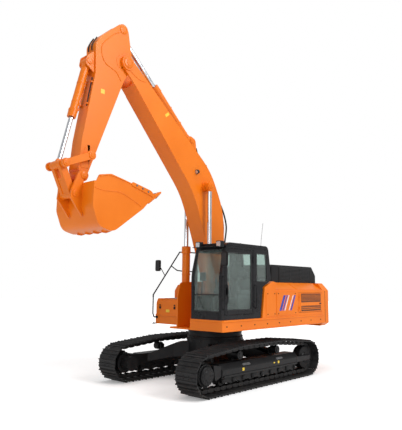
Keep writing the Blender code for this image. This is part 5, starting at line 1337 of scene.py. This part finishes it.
def make_floor():
    """Flat grid of points at the ground's height."""
    material, nodes, links, shader, coords = new_material("studio_floor")
    tone = ramp(nodes, links, noise(nodes, links, coords, 0.3),
                [(0.0, (0.90, 0.90, 0.90)), (1.0, (0.93, 0.93, 0.93))])
    links.new(tone, shader.inputs["Base Color"])
    shader.inputs["Roughness"].default_value = 0.95
    shader.inputs["Specular IOR Level"].default_value = 0.0
    shader.inputs["Emission Color"].default_value = (1.0, 1.0, 1.0, 1.0)
    seen = nodes.new("ShaderNodeLightPath").outputs["Is Camera Ray"]
    reach = nodes.new("ShaderNodeVectorMath")
    reach.operation = "LENGTH"
    links.new(coords, reach.inputs[0])
    glow = nodes.new("ShaderNodeMath")
    glow.operation = "MULTIPLY"
    links.new(spread(nodes, links, reach.outputs["Value"], (5.0, 22.0), FLOOR_GLOW), glow.inputs[0])
    links.new(seen, glow.inputs[1])
    links.new(glow.outputs["Value"], shader.inputs["Emission Strength"])
    span = np.linspace(-70, 70, 15)
    grid = np.zeros((15, 15, 3))
    grid[..., 0], grid[..., 1] = np.meshgrid(span, span)
    index = np.arange(225).reshape(15, 15)
    faces = np.stack([index[:-1, :-1], index[:-1, 1:], index[1:, 1:], index[1:, :-1]], -1).reshape(-1, 4)
    mesh = bpy.data.meshes.new("studio_floor")
    mesh.from_pydata(grid.reshape(-1, 3).tolist(), [], faces.tolist())
    floor = bpy.data.objects.new("studio_floor", mesh)
    bpy.context.scene.collection.objects.link(floor)
    floor.data.materials.append(material)


def add_area(name, place, target, size, power):
    """Rectangular lamp at a place, facing a target."""
    data = bpy.data.lights.new(name, "AREA")
    data.shape = "RECTANGLE"
    data.size, data.size_y = size
    data.energy = power
    lamp = bpy.data.objects.new(name, data)
    bpy.context.scene.collection.objects.link(lamp)
    lamp.location = place
    lamp.rotation_euler = (Vector(target) - Vector(place)).to_track_quat("-Z", "Y").to_euler()


# lamp: place, target, size, power
LAMPS = {
    "key_light": ((17.0, 3.0, 15.0), (0.0, 0.0, 3.0), (9.0, 9.0), 2300.0),
    "top_light": ((0.0, -1.0, 19.0), (0.0, 0.0, 0.0), (14.0, 14.0), 1300.0),
    "front_light": ((5.0, -18.0, 8.0), (0.0, 0.0, 3.0), (8.0, 8.0), 500.0),
}
WORLD_FILL = 0.45
WORLD_SHEEN = 0.55


def make_lights():
    """White world as seen by the camera and through glass, weaker ones for reflections and diffuse light.

    Three lamps stand at fixed places.
    """
    world = bpy.data.worlds.new("studio_world")
    world.use_nodes = True
    bpy.context.scene.world = world
    nodes = world.node_tree.nodes
    links = world.node_tree.links
    nodes.clear()
    output = nodes.new("ShaderNodeOutputWorld")
    fill = nodes.new("ShaderNodeBackground")
    seen = nodes.new("ShaderNodeBackground")
    fill.inputs["Color"].default_value = (1.0, 1.0, 1.0, 1.0)
    seen.inputs["Color"].default_value = (1.0, 1.0, 1.0, 1.0)
    fill.inputs["Strength"].default_value = bpy.context.scene.excavator.fill_light
    seen.inputs["Strength"].default_value = 1.0
    shown = nodes.new("ShaderNodeBackground")
    shown.inputs["Color"].default_value = (1.0, 1.0, 1.0, 1.0)
    shown.inputs["Strength"].default_value = bpy.context.scene.excavator.sheen_light
    path = nodes.new("ShaderNodeLightPath")
    most = nodes.new("ShaderNodeMath")
    most.operation = "MAXIMUM"
    links.new(path.outputs["Is Camera Ray"], most.inputs[0])
    links.new(path.outputs["Is Transmission Ray"], most.inputs[1])
    soft = nodes.new("ShaderNodeMixShader")
    links.new(path.outputs["Is Glossy Ray"], soft.inputs["Fac"])
    links.new(fill.outputs["Background"], soft.inputs[1])
    links.new(shown.outputs["Background"], soft.inputs[2])
    mix = nodes.new("ShaderNodeMixShader")
    links.new(most.outputs["Value"], mix.inputs["Fac"])
    links.new(soft.outputs["Shader"], mix.inputs[1])
    links.new(seen.outputs["Background"], mix.inputs[2])
    links.new(mix.outputs["Shader"], output.inputs["Surface"])
    for name, facts in LAMPS.items():
        add_area(name, *facts)


def make_camera():
    """Looks along a heading and pitch; the whole camera is turned round the swing axis."""
    azimuth, pitch, roll = (math.radians(v) for v in (CAMERA_AZIMUTH, -CAMERA_PITCH, CAMERA_ROLL))
    back = Vector((math.sin(azimuth) * math.cos(pitch), -math.cos(azimuth) * math.cos(pitch),
                   math.sin(pitch)))
    right = (-back).cross(Vector((0, 0, 1))).normalized()
    up = right.cross(-back)
    right_turned = right * math.cos(roll) + up * math.sin(roll)
    up_turned = up * math.cos(roll) - right * math.sin(roll)
    data = bpy.data.cameras.new("camera")
    data.sensor_width = SENSOR
    data.lens = FOCAL_PIXELS * SENSOR / max(IMAGE_SIZE)
    data.shift_x = (IMAGE_SIZE[0] / 2 - IMAGE_CENTRE[0]) / max(IMAGE_SIZE)
    data.shift_y = (IMAGE_CENTRE[1] - IMAGE_SIZE[1] / 2) / max(IMAGE_SIZE)
    data.clip_end = 400
    camera = bpy.data.objects.new("camera", data)
    bpy.context.scene.collection.objects.link(camera)
    matrix = Matrix((right_turned, up_turned, back)).transposed().to_4x4()
    matrix.translation = Vector(CAMERA_PLACE)
    turn = Matrix.Rotation(math.radians(CAMERA_TURN), 4, "Z")
    camera.matrix_world = Matrix.Translation((0, SWING_Y, 0)) @ turn @ matrix
    bpy.context.scene.camera = camera


# ---------------------------------------------------------------- add-on
def tone(name, description, default):
    """Property that holds one colour."""
    return bpy.props.FloatVectorProperty(name=name, description=description, default=default, size=3,
                                         subtype="COLOR", min=0.0, max=1.0)


class ExcavatorSettings(bpy.types.PropertyGroup):
    """Sizes, colours and light levels that a user may change before the steps are run"""
    paint_dark: tone("Paint, dark", "Darker tone of the main paint", ORANGE[0])
    paint_light: tone("Paint, light", "Lighter tone of the main paint", ORANGE[1])
    black_dark: tone("Black, dark", "Darker tone of the black paint", BLACK[0])
    black_light: tone("Black, light", "Lighter tone of the black paint", BLACK[1])
    stripe_dark: tone("Stripe, dark", "Darker tone of the blue stripes", STRIPE[0])
    stripe_light: tone("Stripe, light", "Lighter tone of the blue stripes", STRIPE[1])
    pipe_radius: bpy.props.FloatProperty(name="Pipe radius", description="Radius of the pipes along the boom",
                                         default=0.016, min=0.008, max=0.030, unit="LENGTH")
    hose_radius: bpy.props.FloatProperty(name="Hose radius",
                                         description="Radius of the hoses low on the boom",
                                         default=0.021, min=0.010, max=0.040, unit="LENGTH")
    fill_light: bpy.props.FloatProperty(name="Fill light",
                                        description="Strength of the world's diffuse light",
                                        default=WORLD_FILL, min=0.0, max=2.0)
    sheen_light: bpy.props.FloatProperty(name="Sheen", description="Strength of the world in reflections",
                                         default=WORLD_SHEEN, min=0.0, max=2.0)


class EXCAVATOR_OT_stage(bpy.types.Operator):
    """Camera, lights and floor"""
    bl_idname = "excavator.stage"
    bl_label = "Stage"

    def execute(self, context):
        make_camera()
        make_lights()
        make_floor()
        context.scene.view_settings.view_transform = "Standard"
        return {"FINISHED"}


class EXCAVATOR_OT_finishes(bpy.types.Operator):
    """Finishes, and those of the frame's own pieces"""
    bl_idname = "excavator.finishes"
    bl_label = "Finishes"

    def execute(self, context):
        make_finishes()
        paint_frame()
        return {"FINISHED"}


class EXCAVATOR_OT_tracks(bpy.types.Operator):
    """Shoes, chain links, pins and bolts of both tracks"""
    bl_idname = "excavator.tracks"
    bl_label = "Tracks"

    def execute(self, context):
        make_tracks()
        return {"FINISHED"}


class EXCAVATOR_OT_drives(bpy.types.Operator):
    """Final drive covers, idler faces and roller caps"""
    bl_idname = "excavator.drives"
    bl_label = "Drives and rollers"

    def execute(self, context):
        make_drives()
        return {"FINISHED"}


class EXCAVATOR_OT_track_frames(bpy.types.Operator):
    """Side plates, tread pads and marks of the track frames"""
    bl_idname = "excavator.track_frames"
    bl_label = "Track frames"

    def execute(self, context):
        make_track_frames()
        return {"FINISHED"}


class EXCAVATOR_OT_turntable(bpy.types.Operator):
    """Race and bolt circles of the slewing ring"""
    bl_idname = "excavator.turntable"
    bl_label = "Turntable"

    def execute(self, context):
        make_turntable()
        return {"FINISHED"}


class EXCAVATOR_OT_covers(bpy.types.Operator):
    """Side panels, rear door skins, ledges and stripes"""
    bl_idname = "excavator.covers"
    bl_label = "Covers"

    def execute(self, context):
        make_covers()
        return {"FINISHED"}


class EXCAVATOR_OT_hood(bpy.types.Operator):
    """Louvres, pads and locks of the engine hood"""
    bl_idname = "excavator.hood"
    bl_label = "Hood"

    def execute(self, context):
        make_hood_detail()
        return {"FINISHED"}


class EXCAVATOR_OT_counterweight(bpy.types.Operator):
    """Joint lines, lifting eyes and tail lamps"""
    bl_idname = "excavator.counterweight"
    bl_label = "Counterweight"

    def execute(self, context):
        make_counterweight_detail()
        return {"FINISHED"}


class EXCAVATOR_OT_right_deck(bpy.types.Operator):
    """Treads, fuel cap, catches and steps"""
    bl_idname = "excavator.right_deck"
    bl_label = "Right deck"

    def execute(self, context):
        make_right_deck()
        return {"FINISHED"}


class EXCAVATOR_OT_cab(bpy.types.Operator):
    """Gaskets, door trim, grips, hatch, wiper and lamps"""
    bl_idname = "excavator.cab"
    bl_label = "Cab"

    def execute(self, context):
        make_cab_trim()
        return {"FINISHED"}


class EXCAVATOR_OT_cab_inside(bpy.types.Operator):
    """Padded seat, levers, pedals and monitor"""
    bl_idname = "excavator.cab_inside"
    bl_label = "Cab inside"

    def execute(self, context):
        make_cab_inside()
        return {"FINISHED"}


class EXCAVATOR_OT_cylinders(bpy.types.Operator):
    """Glands, rod eyes, clamps and feed pipes"""
    bl_idname = "excavator.cylinders"
    bl_label = "Cylinders"

    def execute(self, context):
        make_cylinders()
        return {"FINISHED"}


class EXCAVATOR_OT_boom(bpy.types.Operator):
    """Weld beads, pin ends, pipes, hoses and lamp of the boom"""
    bl_idname = "excavator.boom"
    bl_label = "Boom"

    def execute(self, context):
        make_boom_detail()
        return {"FINISHED"}


class EXCAVATOR_OT_arm(bpy.types.Operator):
    """Stiffeners, pin ends, pipes and marks of the arm"""
    bl_idname = "excavator.arm"
    bl_label = "Arm"

    def execute(self, context):
        make_arm_detail()
        return {"FINISHED"}


class EXCAVATOR_OT_bucket(bpy.types.Operator):
    """Tooth adapters and points, side cutters and wear strips"""
    bl_idname = "excavator.bucket"
    bl_label = "Bucket"

    def execute(self, context):
        make_bucket_detail()
        return {"FINISHED"}


OPERATORS = [
    EXCAVATOR_OT_stage, EXCAVATOR_OT_finishes, EXCAVATOR_OT_tracks, EXCAVATOR_OT_drives,
    EXCAVATOR_OT_track_frames, EXCAVATOR_OT_turntable, EXCAVATOR_OT_covers, EXCAVATOR_OT_hood,
    EXCAVATOR_OT_counterweight, EXCAVATOR_OT_right_deck, EXCAVATOR_OT_cab, EXCAVATOR_OT_cab_inside,
    EXCAVATOR_OT_cylinders, EXCAVATOR_OT_boom, EXCAVATOR_OT_arm, EXCAVATOR_OT_bucket,
]


class EXCAVATOR_PT_panel(bpy.types.Panel):
    """Shows the settings and lists the steps that build the excavator's looks"""
    bl_idname = "EXCAVATOR_PT_panel"
    bl_label = "Excavator"
    bl_space_type = "VIEW_3D"
    bl_region_type = "UI"
    bl_category = "Excavator"

    def draw(self, context):
        settings = context.scene.excavator
        for name in settings.bl_rna.properties.keys():
            if name not in ("rna_type", "name"):
                self.layout.prop(settings, name)
        for operator in OPERATORS:
            self.layout.operator(operator.bl_idname)


CLASSES = [ExcavatorSettings] + OPERATORS + [EXCAVATOR_PT_panel]


def register():
    for each in CLASSES:
        bpy.utils.register_class(each)
    bpy.types.Scene.excavator = bpy.props.PointerProperty(type=ExcavatorSettings)


def unregister():
    del bpy.types.Scene.excavator
    for each in reversed(CLASSES):
        bpy.utils.unregister_class(each)


def main():
    """Registers the classes and runs every step in order."""
    register()
    for operator in OPERATORS:
        getattr(bpy.ops.excavator, operator.bl_idname.split(".")[1])()


if __name__ == "__main__":
    main()
